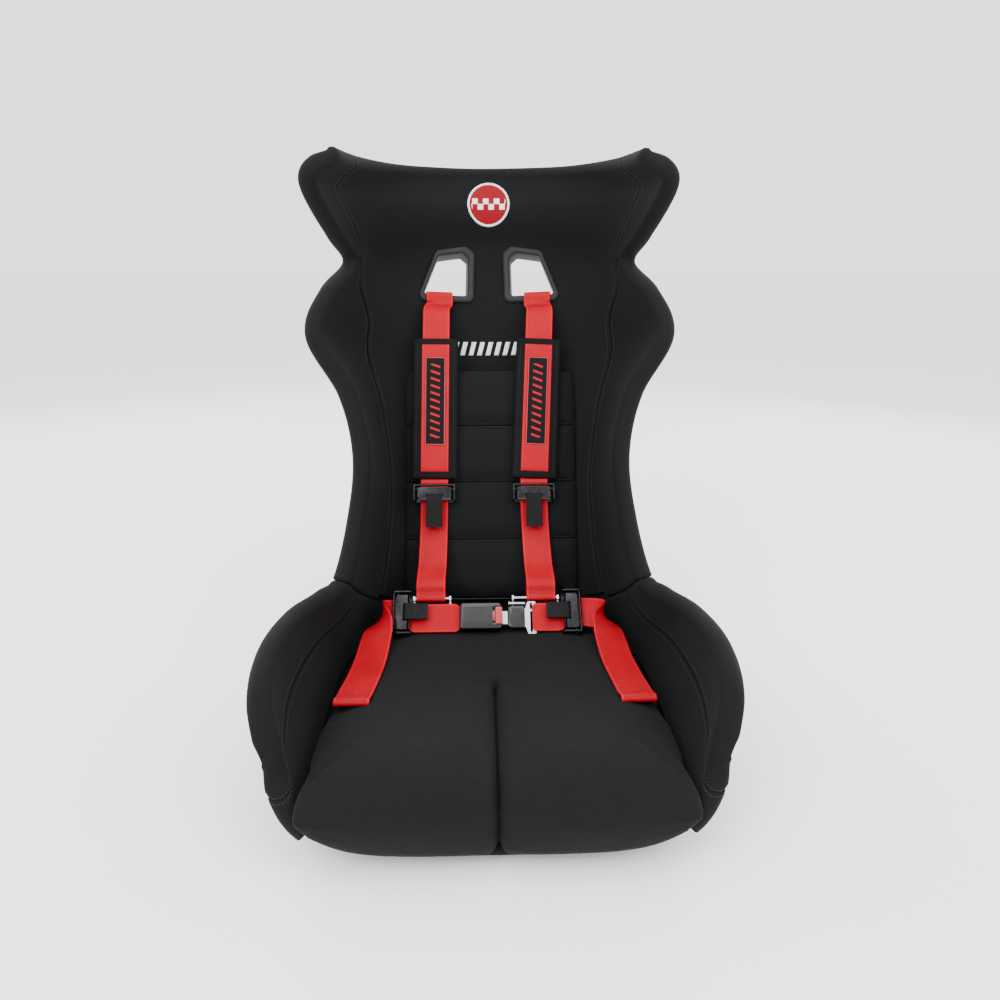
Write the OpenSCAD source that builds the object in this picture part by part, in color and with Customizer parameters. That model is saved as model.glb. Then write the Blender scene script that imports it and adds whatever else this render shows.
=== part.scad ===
// Fixed-back racing seat with a head restraint, split thigh cushion and a four-point harness.
// Millimetres. X across the seat, -Y to the front, +Z up. The origin is on the floor, under the seat pan.

/* [Shell] */
// Wall thickness of the moulded shell
shell_t = 5; // [4:0.5:6]
// Width factor of the whole shell
shell_width = 1; // [0.97:0.01:1.03]
// Radius of the padded roll round the rim of the shell
roll_r = 15; // [13:1:17]
// Extra foam over the middle of the head restraint
head_foam = 20; // [10:1:26]
// Extra foam over the middle of the back, above the back cushion
back_foam = 6; // [0:1:10]

/* [Cushions] */
// Half width of the back cushion
back_pad_w = 155; // [140:1:156]
// Lowest and highest point of the back cushion, up the back line
back_pad_span = [36, 451]; // [30:460]
// Number of crowned blocks on the back cushion
back_blocks = 4; // [3:1:5]
// Height of the seat cushion's top over the floor, at its back
cushion_z = 92; // [80:1:100]
// Half width of the seat cushion at its front
cushion_w = 233; // [220:1:236]
// Length of the slit between the two thigh lobes
slit_len = 250; // [150:5:270]

/* [Harness] */
// Width of the webbing
web_w = 49; // [45:1:52]
// Thickness of the webbing
web_t = 2; // [1.5:0.1:3]
// Length of a shoulder pad along the strap
pad_len = 258; // [220:1:260]
// Width of a shoulder pad
pad_w = 81; // [70:1:84]
// Outer width of an adjuster
adj_w = 74; // [68:1:80]
// Length of a pull tab
tab_len = 58; // [40:1:60]

/* [Buckle] */
// Length, height and thickness of the buckle
buckle = [70, 46, 24]; // [20:80]
// Travel of the release button
button_travel = 4; // [3:0.5:5]
// Thickness of the steel tongue
tongue_t = 2.5; // [2:0.1:3]

/* [Mounting] */
// Distance between the two side mounting holes
mount_pitch = 290; // [280:1:300]
// Height of the side mounting holes over the floor
mount_z = 60; // [55:1:70]
// Distance of the side mounting faces from the middle of the seat
mount_x = 272; // [270:1:276]
// Bore of the M8 threaded inserts
mount_bore = 6.8; // [6.6:0.1:8]

/* [Hidden] */

fabric = "#242525";
plastic = "#3e3e3a";
black = "#141414";
red = "#d80c2e";
white = "#f2f2f2";
steel = "#8c8c8c";
gelcoat = "#101012";

// ---------- Form of the shell ----------
// One row for each station from the front lip, along the pan and up the back to the top of the head:
// spine y and z, rim y and z, half width at the rim, then how far the floor of the section stays flat,
// where the wall starts and how far that start has climbed, each as a share.
STATIONS = [
    [-340,  22, -316, 128, 262, 0.80, 0.95, 0.08],
    [-250,   7, -284, 188, 280, 0.80, 0.93, 0.08],
    [-150,   3, -205, 208, 288, 0.80, 0.94, 0.08],
    [  20,   3, -112, 209, 279, 0.84, 0.97, 0.08],
    [ 125,   6,  -45, 206, 254, 0.86, 1.01, 0.10],
    [ 188,  82,    0, 213, 232, 0.82, 1.00, 0.12],
    [ 222, 170,   70, 285, 217, 0.80, 1.00, 0.12],
    [ 270, 275,  125, 380, 210, 0.82, 1.00, 0.12],
    [ 330, 410,  165, 480, 235, 0.76, 0.98, 0.15],
    [ 382, 525,  180, 570, 284, 0.66, 0.90, 0.20],
    [ 415, 605,  235, 635, 268, 0.62, 0.90, 0.25],
    [ 440, 675,  315, 683, 240, 0.60, 0.90, 0.30],
    [ 450, 730,  265, 730, 257, 0.52, 0.92, 0.30],
    [ 452, 790,  195, 805, 279, 0.50, 0.95, 0.30],
    [ 447, 834,  218, 840, 243, 0.50, 0.95, 0.30]
];
T_END = len(STATIONS) - 1;
T_NECK = 11.2;   // seam between the head cover and the panels below it
T_HIP = 5;       // seam between the hip covers and the shoulder covers
EPS = 0.002;
hem_t = 0.36;     // width of the hem behind the rim, along and across the shell
hem_s = 0.05;
backing_gap = 1.5;
roll_steps = [30, 60, 90, 120, 150, 180, 200];
last_roll = 200;

function unit(v) = v / norm(v);
function lerp(a, b, u) = a + (b - a) * u;
function clamp(v, lo, hi) = min(max(v, lo), hi);
function ease(u) = let (c = clamp(u, 0, 1)) c * c * (3 - 2 * c);
function flip(p, side) = [side * p[0], p[1], p[2]];

// Catmull-Rom curve through the rows of the station table
function station(t) =
    let (
        c = clamp(t, 0, T_END),
        i = min(floor(c), T_END - 1),
        u = c - i,
        a = STATIONS[max(i - 1, 0)],
        b = STATIONS[i],
        d = STATIONS[i + 1],
        e = STATIONS[min(i + 2, T_END)]
    )
    0.5 * (2 * b + (d - a) * u + (2 * a - 5 * b + 4 * d - e) * u * u + (3 * b - a - 3 * d + e) * u * u * u);

// A point on the inner face of the shell; s runs from -1 at the left rim to 1 at the right rim
function inner(t, s) =
    let (
        q = station(t),
        a = abs(s),
        w = q[4] * shell_width,
        floor_z = max(q[1], shell_t),
        p0 = [0, q[0], floor_z],
        p1 = [q[5] * w, q[0], floor_z],
        p2 = [q[6] * w, lerp(q[0], q[2], q[7]), lerp(floor_z, q[3], q[7])],
        p3 = [w, q[2], q[3]],
        p = pow(1 - a, 3) * p0 + 3 * pow(1 - a, 2) * a * p1 + 3 * (1 - a) * a * a * p2 + pow(a, 3) * p3
    )
    flip(p, s < 0 ? -1 : 1);

function along(t, s) = unit(inner(min(t + EPS, T_END), s) - inner(max(t - EPS, 0), s));
function across(t, s) = unit(inner(t, min(s + EPS, 1)) - inner(t, max(s - EPS, -1)));
function normal(t, s) = unit(cross(across(t, s), along(t, s)));
function face(t, s, off) = inner(t, s) + off * normal(t, s);

// Extra foam over the shell: a little above the back cushion and more on the head restraint
function foam(t, s) =
    (back_foam * ease((t - 8.6) / 1) + (head_foam - back_foam) * ease((t - 11.5) / 1.1))
    * ease((T_END - t) / 1.3) * (1 - pow(abs(s), 3));

// A point on the padding that rolls round the rim: as and at are the angles rolled past the side
// and past the end of the shell, and side and end say which side and end that is. Past 180 degrees
// the padding thins to a hem that lies along the back of the shell.
function rolled(t, s, r, as = 0, at = 0, side = 1, end = 1) =
    let (
        turn = norm([as, at]),
        out = turn == 0 ? [0, 0, 0] : unit(as * side * across(t, s) + at * end * along(t, s)),
        n = normal(t, s),
        mid = face(t, s, -shell_t / 2),
        u = turn > 180 ? (turn - 180) / (last_roll * turn / max(as, at) - 180) : 0
    )
    turn > 180
        ? face(t - end * (end > 0 ? hem_t : hem_t / 2) * u * at / turn, s - side * hem_s * u * as / turn,
            lerp(-shell_t / 2 - r, -shell_t - (r > roll_r / 2 ? 3.7 : backing_gap), u))
    : turn == 0 && r > roll_r / 2 ? mid + (r + foam(t, s)) * n
    : mid + r * (cos(turn) * n + sin(turn) * out);

// ---------- Solids from grids ----------
// A closed wall between two grids of points of the same size
module wall_between(outer, backing) {
    rows = len(outer);
    cols = len(outer[0]);
    half = rows * cols;
    function id(r, c, k) = k * half + r * cols + c;
    pts = concat([for (r = outer) each r], [for (r = backing) each r]);
    faces = concat(
        [for (r = [0 : rows - 2], c = [0 : cols - 2]) each [
            [id(r, c, 0), id(r + 1, c + 1, 0), id(r, c + 1, 0)],
            [id(r, c, 0), id(r + 1, c, 0), id(r + 1, c + 1, 0)],
            [id(r, c, 1), id(r, c + 1, 1), id(r + 1, c + 1, 1)],
            [id(r, c, 1), id(r + 1, c + 1, 1), id(r + 1, c, 1)]]],
        [for (c = [0 : cols - 2]) each [
            [id(0, c, 0), id(0, c + 1, 1), id(0, c, 1)],
            [id(0, c, 0), id(0, c + 1, 0), id(0, c + 1, 1)],
            [id(rows - 1, c, 0), id(rows - 1, c, 1), id(rows - 1, c + 1, 1)],
            [id(rows - 1, c, 0), id(rows - 1, c + 1, 1), id(rows - 1, c + 1, 0)]]],
        [for (r = [0 : rows - 2]) each [
            [id(r, 0, 0), id(r, 0, 1), id(r + 1, 0, 1)],
            [id(r, 0, 0), id(r + 1, 0, 1), id(r + 1, 0, 0)],
            [id(r, cols - 1, 0), id(r + 1, cols - 1, 1), id(r, cols - 1, 1)],
            [id(r, cols - 1, 0), id(r + 1, cols - 1, 0), id(r + 1, cols - 1, 1)]]]
    );
    polyhedron(pts, faces, convexity = 10);
}

// The same wall on the right for side 1, or mirrored to the left for side -1
module mirrored_wall(side, outer, backing)
    if (side > 0) wall_between(outer, backing);
    else wall_between([for (r = backing) [for (p = r) flip(p, -1)]], [for (r = outer) [for (p = r) flip(p, -1)]]);

// Faces of an end cap, as a strip between the two halves of the outline
function cap_faces(first, c, cols, back) =
    let (
        a = first + c, b = first + c + 1, d = first + cols - 2 - c, e = first + cols - 1 - c,
        strip = b == d ? [[a, b, e]] : [[a, b, e], [b, d, e]]
    )
    back ? [for (f = strip) [f[2], f[1], f[0]]] : strip;

// A closed solid through outlines that all have the same number of points; swap takes the other
// diagonal of each quad, for a twist to the left
module loft(outlines, swap = false) {
    rows = len(outlines);
    cols = len(outlines[0]);
    pts = [for (o = outlines) each o];
    faces = concat(
        [for (r = [0 : rows - 2], c = [0 : cols - 1])
            let (a = r * cols + c, b = r * cols + (c + 1) % cols, d = b + cols, e = a + cols)
            each (swap ? [[a, b, e], [b, d, e]] : [[a, b, d], [a, d, e]])],
        [for (c = [0 : floor((cols - 1) / 2) - 1]) each cap_faces(0, c, cols, true)],
        [for (c = [0 : floor((cols - 1) / 2) - 1]) each cap_faces((rows - 1) * cols, c, cols, false)]
    );
    polyhedron(pts, faces, convexity = 6);
}

// Webbing along stations of [centre, direction across the webbing]
module webbing(path, swap = false) {
    n = len(path);
    loft([for (i = [0 : n - 1])
        let (
            c = path[i][0],
            run = unit(path[min(i + 1, n - 1)][0] - path[max(i - 1, 0)][0]),
            side = unit(path[i][1] - (path[i][1] * run) * run),
            up = cross(side, run)
        )
        [
            c - side * web_w / 2 - up * web_t / 2,
            c + side * web_w / 2 - up * web_t / 2,
            c + side * web_w / 2 + up * web_t / 2,
            c - side * web_w / 2 + up * web_t / 2
        ]], swap);
}

// An outline with every corner rounded to radius r
function rounded(pts, r, steps = 5) =
    let (n = len(pts))
    [for (i = [0 : n - 1])
        let (
            a = unit(pts[(i + n - 1) % n] - pts[i]),
            b = unit(pts[(i + 1) % n] - pts[i]),
            half = acos(clamp(a * b, -1, 1)) / 2,
            mid = pts[i] + unit(a + b) * r / sin(half),
            from = pts[i] + a * r / tan(half) - mid,
            to = pts[i] + b * r / tan(half) - mid
        )
        for (k = [0 : steps]) mid + r * unit(lerp(from, to, k / steps))];

// ---------- Frames of reference ----------
back_angle = 24;      // recline of the back line
back_foot = [0, 150, 75];
lap_angle = 45;       // lean of the buckle and the lap belt
lap_seat = [0, 62, 119];

// In both frames Z runs up the line and -Y stands off it
module back_frame() translate(back_foot) rotate([-back_angle, 0, 0]) children();
module lap_frame() translate(lap_seat) rotate([-lap_angle, 0, 0]) children();
function tilted(p, a) = [p[0], p[1] * cos(a) + p[2] * sin(a), p[2] * cos(a) - p[1] * sin(a)];
function back_point(x, h, d) = back_foot + tilted([x, -d, h], back_angle);
function lap_point(x, h, d) = lap_seat + tilted([x, -d, h], lap_angle);

// ---------- Shell, trim and mounting ----------
slot_lean = 18;                 // lean of the padded surface round the harness slots
slot_yaw = 8;                   // and its turn towards the middle of the seat
slot_mid = [84, 427, 654];
slot_top = 22;                    // fabric surface in front of slot_mid
SLOT = [[-40, -39], [43, -39], [14, 34], [-30, 42], [-42, 32]];

// Outline of a harness slot, grown by g
function slot_outline(side, g) =
    [for (p = rounded([for (q = SLOT) q * (1 + g / 42)], 6 + g / 2)) [side * p[0], p[1]]];

// A point near a slot: x and up in its plane, off towards the front
function slot_point(side, x, up, off) =
    let (
        b = -slot_yaw * side,
        v = [x * cos(b) + off * sin(b), up, off * cos(b) - x * sin(b)]
    )
    [side * slot_mid[0] + v[0], slot_mid[1] + v[1] * sin(slot_lean) - v[2] * cos(slot_lean),
        slot_mid[2] + v[1] * cos(slot_lean) + v[2] * sin(slot_lean)];

// Straight through the slot, from off0 to off1 in front of the shell's inner face
module through_slot(side, g, off0, off1)
    translate([side * slot_mid[0], slot_mid[1], slot_mid[2]])
        rotate([90 - slot_lean, 0, 0]) rotate([0, -slot_yaw * side, 0]) translate([0, 0, off0])
            linear_extrude(off1 - off0) polygon(slot_outline(side, g));

mount_y = [-205, mount_pitch - 205];

module insert_holes(side, r, x0, x1)
    for (y = mount_y)
        translate([side * x0, y, mount_z]) rotate([0, side * 90, 0]) cylinder(h = x1 - x0, r = r, $fn = 48);

module shell() {
    ts = [for (i = [0 : 42]) T_END * i / 42];
    ss = [for (i = [-12 : 12]) i / 12];
    // resize with zeros leaves every size as it is and makes one mesh of the cut shell
    color(gelcoat) resize([0, 0, 0]) difference() {
        wall_between([for (t = ts) [for (s = ss) face(t, s, 0)]], [for (t = ts) [for (s = ss) face(t, s, -shell_t)]]);
        for (side = [-1, 1]) through_slot(side, 4, -40, 60);
    }
}

// Soft edging over the end of the fabric, all round the back of the rim
module edge_trim() {
    bead_r = 2.6;
    sides = 6;
    in_t = hem_t + 0.08;
    in_s = hem_s + 0.014;
    side_t = [for (i = [0 : 44]) lerp(0.6, T_END - 0.6, i / 44)];
    end_s = [for (i = [-9 : 9]) i / 10.3];
    ring = concat(
        [for (t = side_t) [t, 1 - in_s]],
        [for (i = [18 : -1 : 0]) [T_END - in_t, end_s[i]]],
        [for (i = [44 : -1 : 0]) [side_t[i], in_s - 1]],
        [for (s = end_s) [0.7 * in_t, s]]
    );
    n = len(ring);
    function mid(q) = face(q[0], q[1], -shell_t - bead_r - 1);
    pts = [for (i = [0 : n - 1])
        let (
            run = unit(mid(ring[(i + 1) % n]) - mid(ring[(i + n - 1) % n])),
            side = unit(cross(run, normal(ring[i][0], ring[i][1]))),
            up = cross(side, run)
        )
        for (k = [0 : sides - 1]) mid(ring[i]) + bead_r * (cos(360 * k / sides) * side + sin(360 * k / sides) * up)];
    faces = [for (i = [0 : n - 1], k = [0 : sides - 1])
        let (j = (i + 1) % n, m = (k + 1) % sides)
        each [
            [i * sides + k, i * sides + m, j * sides + m],
            [i * sides + k, j * sides + m, j * sides + k]]];
    color(black) polyhedron(pts, faces, convexity = 8);
}

// Moulded pad between the leaning wall of the shell and the upright mounting face
module mount_pad(side) {
    ts = [for (i = [0 : 10]) lerp(1.35, 4.4, i / 10)];
    ss = [0.55, 0.59, 0.63, 0.67];
    wall = [for (t = ts) [for (s = ss) face(t, s, -shell_t - 1.3)]];
    flat = [for (row = wall) [for (p = row) [mount_x, p[1], p[2]]]];
    color(gelcoat) difference() {
        mirrored_wall(side, wall, flat);
        insert_holes(side, 6.1, mount_x - 70, mount_x + 1);
    }
}

// M8 threaded inserts, two to a side
module mount_inserts(side)
    color(steel) difference() {
        insert_holes(side, 6, mount_x - 12.5, mount_x);
        insert_holes(side, mount_bore / 2, mount_x - 14, mount_x + 1);
    }

// Front half of a slot bezel: a flange on the fabric and a sleeve through the shell
module slot_bezel(side)
    color(plastic) difference() {
        union() {
            through_slot(side, 13, slot_top + 2, slot_top + 5);
            through_slot(side, 3, -6, slot_top + 2);
        }
        through_slot(side, 0, -7, slot_top + 6);
    }

module slot_rear_ring(side)
    color(plastic) difference() {
        through_slot(side, 12, -14, -10.5);
        through_slot(side, 0.5, -15, -9);
    }

// ---------- Covers: foam under stretched fabric ----------
last_step = len(roll_steps) - 1;
backing_r = shell_t / 2 + backing_gap;

// Seam between the back cover and a shoulder cover: straight up, then out to the neck
function seam(t) = t < 9.2 ? 0.62 : lerp(0.62, 0.974, ease((t - 9.2) / (T_NECK - 9.2)));

module head_cover() {
    ts = [for (i = [0 : 9]) lerp(T_NECK, T_END, i / 9)];
    spots = concat(
        [for (k = [last_step : -1 : 0]) [-1, roll_steps[k]]],
        [for (i = [-9 : 9]) [i / 9, 0]],
        [for (k = [0 : last_step]) [1, roll_steps[k]]]
    );
    function row(t, at, r) = [for (q = spots) rolled(t, q[0], r, q[1], at, q[0] < 0 ? -1 : 1, 1)];
    function grid(r) = concat([for (t = ts) row(t, 0, r)], [for (a = roll_steps) row(T_END, a, r)]);
    color(fabric) resize([0, 0, 0]) difference() {
        wall_between(grid(roll_r), grid(backing_r));
        for (side = [-1, 1]) through_slot(side, 5, -40, 60);
    }
}

module back_cover() {
    ts = [for (i = [0 : 18]) lerp(T_HIP + 0.12, T_NECK - 0.02, i / 18)];
    function grid(r) = [for (t = ts) [for (i = [-7 : 7]) rolled(t, i / 7 * (seam(t) - 0.006), r)]];
    color(fabric) resize([0, 0, 0]) difference() {
        wall_between(grid(roll_r), grid(backing_r));
        for (side = [-1, 1]) through_slot(side, 5, -40, 60);
    }
}

// A panel from its seam out to the rim and round it; front panels also roll over the front edge
module side_cover(side, t0, t1, rows, front) {
    ts = [for (i = [0 : rows]) lerp(t0, t1, i / rows)];
    function row(t, at, r) = concat(
        [for (i = [0 : 4]) rolled(t, lerp((front ? 0.62 : seam(t)) + 0.006, 1, i / 4), r, 0, at, 1, -1)],
        [for (a = roll_steps) rolled(t, 1, r, a, at, 1, -1)]
    );
    function grid(r) = concat(
        front ? [for (k = [last_step : -1 : 0]) row(0, roll_steps[k], r)] : [],
        [for (t = ts) row(t, 0, r)]
    );
    color(fabric) mirrored_wall(side, grid(roll_r), grid(backing_r));
}

module shoulder_cover(side) side_cover(side, T_HIP + 0.01, T_NECK - 0.04, 18, false);
module hip_cover(side) side_cover(side, 0, T_HIP - 0.01, 15, true);

// Liner of the seat pan, rolled over the front lip
module pan_cover() {
    ts = [for (i = [0 : 14]) lerp(0, T_HIP + 0.1, i / 14)];
    function row(t, at, r) = [for (i = [-6 : 6]) rolled(t, 0.608 * i / 6, r, 0, at, 1, -1)];
    function grid(r) = concat([for (k = [last_step : -1 : 0]) row(0, roll_steps[k], r)], [for (t = ts) row(t, 0, r)]);
    color(fabric) wall_between(grid(roll_r), grid(backing_r));
}

// ---------- Cushions ----------
module back_cushion() {
    lo = back_pad_span[0];
    hi = back_pad_span[1];
    block = (hi - lo) / back_blocks;
    hs = [for (i = [4 * back_blocks : -1 : 0]) lo + (hi - lo) * i / (4 * back_blocks)];
    xs = [for (i = [-5 : 5]) i / 5];
    // Crown of the blocks: down in the channels, up between them
    function front_d(h, u) = 20 - 7 * pow(abs(cos(180 * (h - lo) / block)), 6) - 4 * pow(abs(u), 6);
    function width(h) = back_pad_w - 8 * pow(clamp(abs(2 * (h - lo) / (hi - lo) - 1), 0, 1), 12);
    color(fabric) loft([for (h = hs) concat(
        [for (u = xs) back_point(u * width(h), h, front_d(h, u))],
        [for (u = xs) back_point(-u * width(h), h, -13.4 + 22 * pow(abs(u), 3))]
    )]);
}

function cushion_top(y) = cushion_z + 0.07 * (70 - y) - 0.00008 * pow(y + 130, 2) + 3;
function cushion_half(y) = cushion_w - max(0, (y + 210) * 0.17) - max(0, (-270 - y) * 0.16);

module seat_cushion() {
    // Side view: along the bottom to the back, over the top and round the nose
    profile = [
        [-318, 36], [-270, 29], [-200, 23], [40, 22], [100, 26],
        [122, 45], [126, 70], [118, cushion_top(118) - 2], [80, cushion_top(80)], [0, cushion_top(0)],
        [-90, cushion_top(-90)], [-180, cushion_top(-180)], [-260, cushion_top(-260)], [-312, cushion_top(-312) - 1],
        [-338, cushion_top(-338) - 9], [-351, 92], [-353, 70], [-346, 52], [-334, 42]
    ];
    us = [-1, -0.98, -0.93, -0.8, -0.5, -0.15, -0.03, 0, 0.03, 0.15, 0.5, 0.8, 0.93, 0.98, 1];
    mid_z = 78;
    function side_round(u) = sqrt(1 - pow(abs(u), 9));
    function slit(u, y) = abs(u) < 0.02 ? ease((-102 - y) / 30) * 22 : 0;
    color(fabric) loft([for (u = us) [for (p = profile)
        let (
            shrink = 0.22 + 0.78 * side_round(u),
            low = p[1] < mid_z,
            lift = 0.8 * pow(abs(u), 6) + 0.06 * u * u,
            z = low ? p[1] + (mid_z - p[1]) * lift : mid_z + (p[1] - mid_z) * shrink,
            x = -u * cushion_half(p[0]),
            y = p[0] < -300 ? p[0] + 10 * (1 - side_round(u)) + (abs(u) < 0.02 ? 14 : 0) : p[0]
        )
        [x, y, z - slit(u, p[0]) * (p[1] > mid_z ? 1 : 0)]]]);
}

// ---------- Badge and stitched bars ----------
badge_r = 39;
badge_low = rolled(12.5, 0, roll_r);
badge_high = rolled(13.4, 0, roll_r);
badge_lean = atan2(badge_high[1] - badge_low[1], badge_high[2] - badge_low[2]);
badge_gap = 5.6;                  // the surface is crowned, so the flat disc stands clear of its edges
module badge()
    color(red) translate((badge_low + badge_high) / 2) rotate([90 - badge_lean, 0, 0])
        translate([0, 0, badge_gap]) cylinder(h = 2.4, r = badge_r, $fn = 64);

// A row of slanted satin-stitched bars on the back cover, above the back cushion
module stitched_bars()
    color(white) translate([0, 363, 529]) rotate([90 - back_angle, 0, 0])
        for (i = [-4 : 4])
            translate([i * 16, 0, 0]) linear_extrude(1.6) polygon([[-7, -13], [2, -13], [7, 13], [-2, 13]]);

// ---------- Shoulder harness ----------
// Middle of each strap at the slot, at its adjuster and at the lap belt, left then right
STRAP_X = [[-97, -101, -104], [94, 76, 82]];
slot_h = 590;                     // height of the slots' lower edge up the back line
adj_h = 222;                      // height of the adjusters up the back line
strap_d = 32;                     // stand-off of the straps in front of the back line
side_x = [1, 0, 0];
function strap_x(k, h) = h > adj_h
    ? lerp(STRAP_X[k][1], STRAP_X[k][0], (h - adj_h) / (slot_h - adj_h))
    : lerp(STRAP_X[k][2], STRAP_X[k][1], max(0, (h - 60) / (adj_h - 60)));

// Behind the shell the strap hangs down to its sewn end loop; in front it runs to the adjuster
module shoulder_strap(k) {
    side = k == 0 ? -1 : 1;
    x = STRAP_X[k][0];
    sill = -SLOT[0][1] - 4;
    turned = [cos(slot_yaw), -side * sin(slot_yaw) * cos(slot_lean), side * sin(slot_yaw) * sin(slot_lean)];
    function at_slot(up, off) = [slot_point(side, x - side * slot_mid[0], up, off), turned];
    function at(h, d) = [back_point(strap_x(k, h), h, d), side_x];
    color(red) webbing([
        [[x, 440, 318], side_x], [[x, 446, 400], side_x], [[x, 449, 500], side_x], [[x, 449, 570], side_x],
        at_slot(-sill - 13, -29), at_slot(-sill, -20), at_slot(-sill + 1, -8), at_slot(-sill + 1, 16),
        at_slot(-sill - 1, slot_top + 8), at_slot(-sill - 8, slot_top + 9), at_slot(-sill - 22, slot_top + 8),
        at(566, 22), at(540, strap_d), at(400, strap_d), at(adj_h + 8, strap_d)
    ], k == 1);
}

// From the adjuster down to the sewn loop round the strap bar on the lap belt
module lower_strap(k) {
    function at(h, d) = [back_point(strap_x(k, h), h, d), side_x];
    function near_bar(up, d) = [lap_point(STRAP_X[k][2], bar_up + up, d), side_x];
    ply = 3.9;
    color(red) webbing([
        at(adj_h - 19, strap_d - 1), at(165, 31), at(130, 39), at(95, 56),
        near_bar(26, 10), near_bar(10, 4.4), near_bar(0, ply), near_bar(-2.8, 2.8), near_bar(-ply, 0),
        near_bar(-2.8, -2.8), near_bar(0, -ply), near_bar(10, -2), near_bar(26, 4), near_bar(40, 0.6)
    ]);
}

// Sleeve of a shoulder pad: two layers of foam with the strap between them
pad_h = 247;                      // lower end of the pads
module pad_place(k) back_frame()
    translate([strap_x(k, pad_h), 0, pad_h])
        rotate([0, atan((STRAP_X[k][0] - STRAP_X[k][1]) / (slot_h - adj_h)), 0]) children();

module shoulder_pad(k)
    color(black) pad_place(k) difference() {
        translate([0, -strap_d + 7, 0]) rotate([90, 0, 0]) linear_extrude(14)
            polygon(rounded([[-pad_w / 2, 0], [pad_w / 2, 0], [pad_w / 2, pad_len], [-pad_w / 2, pad_len]], 6));
        translate([-web_w / 2 - 2, -strap_d - 2.6, -1]) cube([web_w + 4, 5.2, pad_len + 2]);
    }

module pad_band(k)
    color(red) pad_place(k) translate([-web_w / 2, -strap_d - 9.2, 13]) cube([web_w, 2, pad_len - 26]);

module pad_label(k)
    color(black) pad_place(k) translate([-18.5, -strap_d - 10.8, 60]) cube([37, 1.4, 162]);

// ---------- Adjusters ----------
// Frame in its own place: X across the webbing, Z along it, -Y away from the seat
frame_h = 34;
cam_z = 6;                        // place of the cam's pivot in the frame
cam_y = -2;
web_y = 3;                        // middle of the webbing in the frame
cheek = 3;
module adjuster_frame() {
    for (s = [-1, 1]) translate([s * (adj_w - cheek) / 2 - cheek / 2, -9, -frame_h / 2]) difference() {
        cube([cheek, 16, frame_h]);
        translate([-1, 9 + cam_y, frame_h / 2 + cam_z]) rotate([0, 90, 0]) cylinder(h = cheek + 2, r = 2.2, $fn = 32);
    }
    for (z = [-frame_h / 2, frame_h / 2 - 5])
        translate([cheek - adj_w / 2 - 0.5, web_y + 1.6, z]) cube([adj_w - 2 * cheek + 1, 2.4, 5]);
}

// Serrated bar that clamps the webbing, on its pivot, with the lever that carries the tab
module adjuster_cam() translate([0, cam_y, cam_z]) {
    rotate([0, 90, 0]) cylinder(h = adj_w - 0.6, r = 2, center = true, $fn = 32);
    difference() {
        translate([-30, -6.5, -17]) cube([60, 5.5, 20]);
        translate([-15, -7, -13]) cube([30, 7, 4]);
    }
    translate([-30, -4, -2]) cube([60, 4, 4]);
}

module adjuster_tab(length) translate([0, cam_y - 7.2, cam_z - 17.5])
    rotate([6, 0, 0]) rotate([90, 0, 0]) linear_extrude(2.4)
        polygon(rounded([[-14, 4 - length], [14, 4 - length], [14, 5], [-14, 5]], 3));

module shoulder_place(k) back_frame() translate([strap_x(k, adj_h), -strap_d - web_y, adj_h]) children();
module shoulder_adjuster(k) color(steel) shoulder_place(k) adjuster_frame();
module shoulder_cam(k) color(steel) shoulder_place(k) adjuster_cam();
module shoulder_tab(k) color(black) shoulder_place(k) adjuster_tab(tab_len);

// On the lap belt the webbing runs along X, so the frame is turned by a quarter
lap_adj_x = [-152, 133];
lap_adj_up = 8;
module lap_place(k) lap_frame() translate([lap_adj_x[k], -web_y, lap_adj_up]) rotate([0, k == 0 ? -90 : 90, 0]) children();
module lap_adjuster(k) color(steel) lap_place(k) adjuster_frame();
module lap_cam(k) color(steel) lap_place(k) adjuster_cam();
module lap_tab(k) color(black) lap_place(k) adjuster_tab(tab_len * 0.7);

// ---------- Lap belt ----------
up_lap = tilted([0, 0, 1], lap_angle);

// From the adjuster over the cushion to the sewn end loop
module lap_belt(k) {
    side = k == 0 ? -1 : 1;
    x0 = [-178, 161][k];
    color(red) webbing([
        [lap_point(x0, lap_adj_up, 0), up_lap],
        [[side * 184, 42, 124], [-0.5 * side, 0.5, 0.5]],
        [[side * 187, 20, 117], [-0.8 * side, 0.3, 0.3]],
        [[side * 187, -5, 109], [-1 * side, 0.1, 0.05]],
        [[side * 188, -50, 104], [-1 * side, 0, 0]],
        [[side * 190, -100, 108], [-1 * side, 0, 0]],
        [[side * 194, -150, 112], [-1 * side, 0, 0]],
        [[side * 196, -174, 114], [-1 * side, 0, 0]]
    ], k == 0);
}

// Short length of webbing between an adjuster and the buckle or the tongue
link_end = [-55.3, 66];
module lap_link(k) {
    side = k == 0 ? -1 : 1;
    far = lap_adj_x[k] - side * 19;
    color(red) lap_frame() translate([min(link_end[k], far), -web_t / 2, -web_w / 2])
        cube([abs(link_end[k] - far), web_t, web_w]);
}

// Steel bar that a shoulder strap is looped round, on a wire frame behind the lap link
bar_up = 34;
BAR_X = [[-133.4, -70], [33, 112]];
module strap_bar(k) {
    x0 = BAR_X[k][0];
    x1 = BAR_X[k][1];
    color(steel) lap_frame() {
        translate([x0 + 1, 0, bar_up]) rotate([0, 90, 0]) cylinder(h = x1 - x0 - 2, r = 2.5, $fn = 32);
        for (x = [x0, x1 - 3]) {
            translate([x, -2.5, bar_up - 3.5]) cube([3, 10.5, 7]);
            translate([x, 6, 12]) cube([3, 2, bar_up - 10]);
        }
        translate([x0, 6, 12]) cube([x1 - x0, 2, 4]);
    }
}

// ---------- Buckle ----------
// Its middle is on the lap line; X runs towards the tongue and -Y stands off the lap
buckle_x = -20;
module buckle_place() lap_frame() translate([buckle_x, 0, 0]) children();

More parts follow.
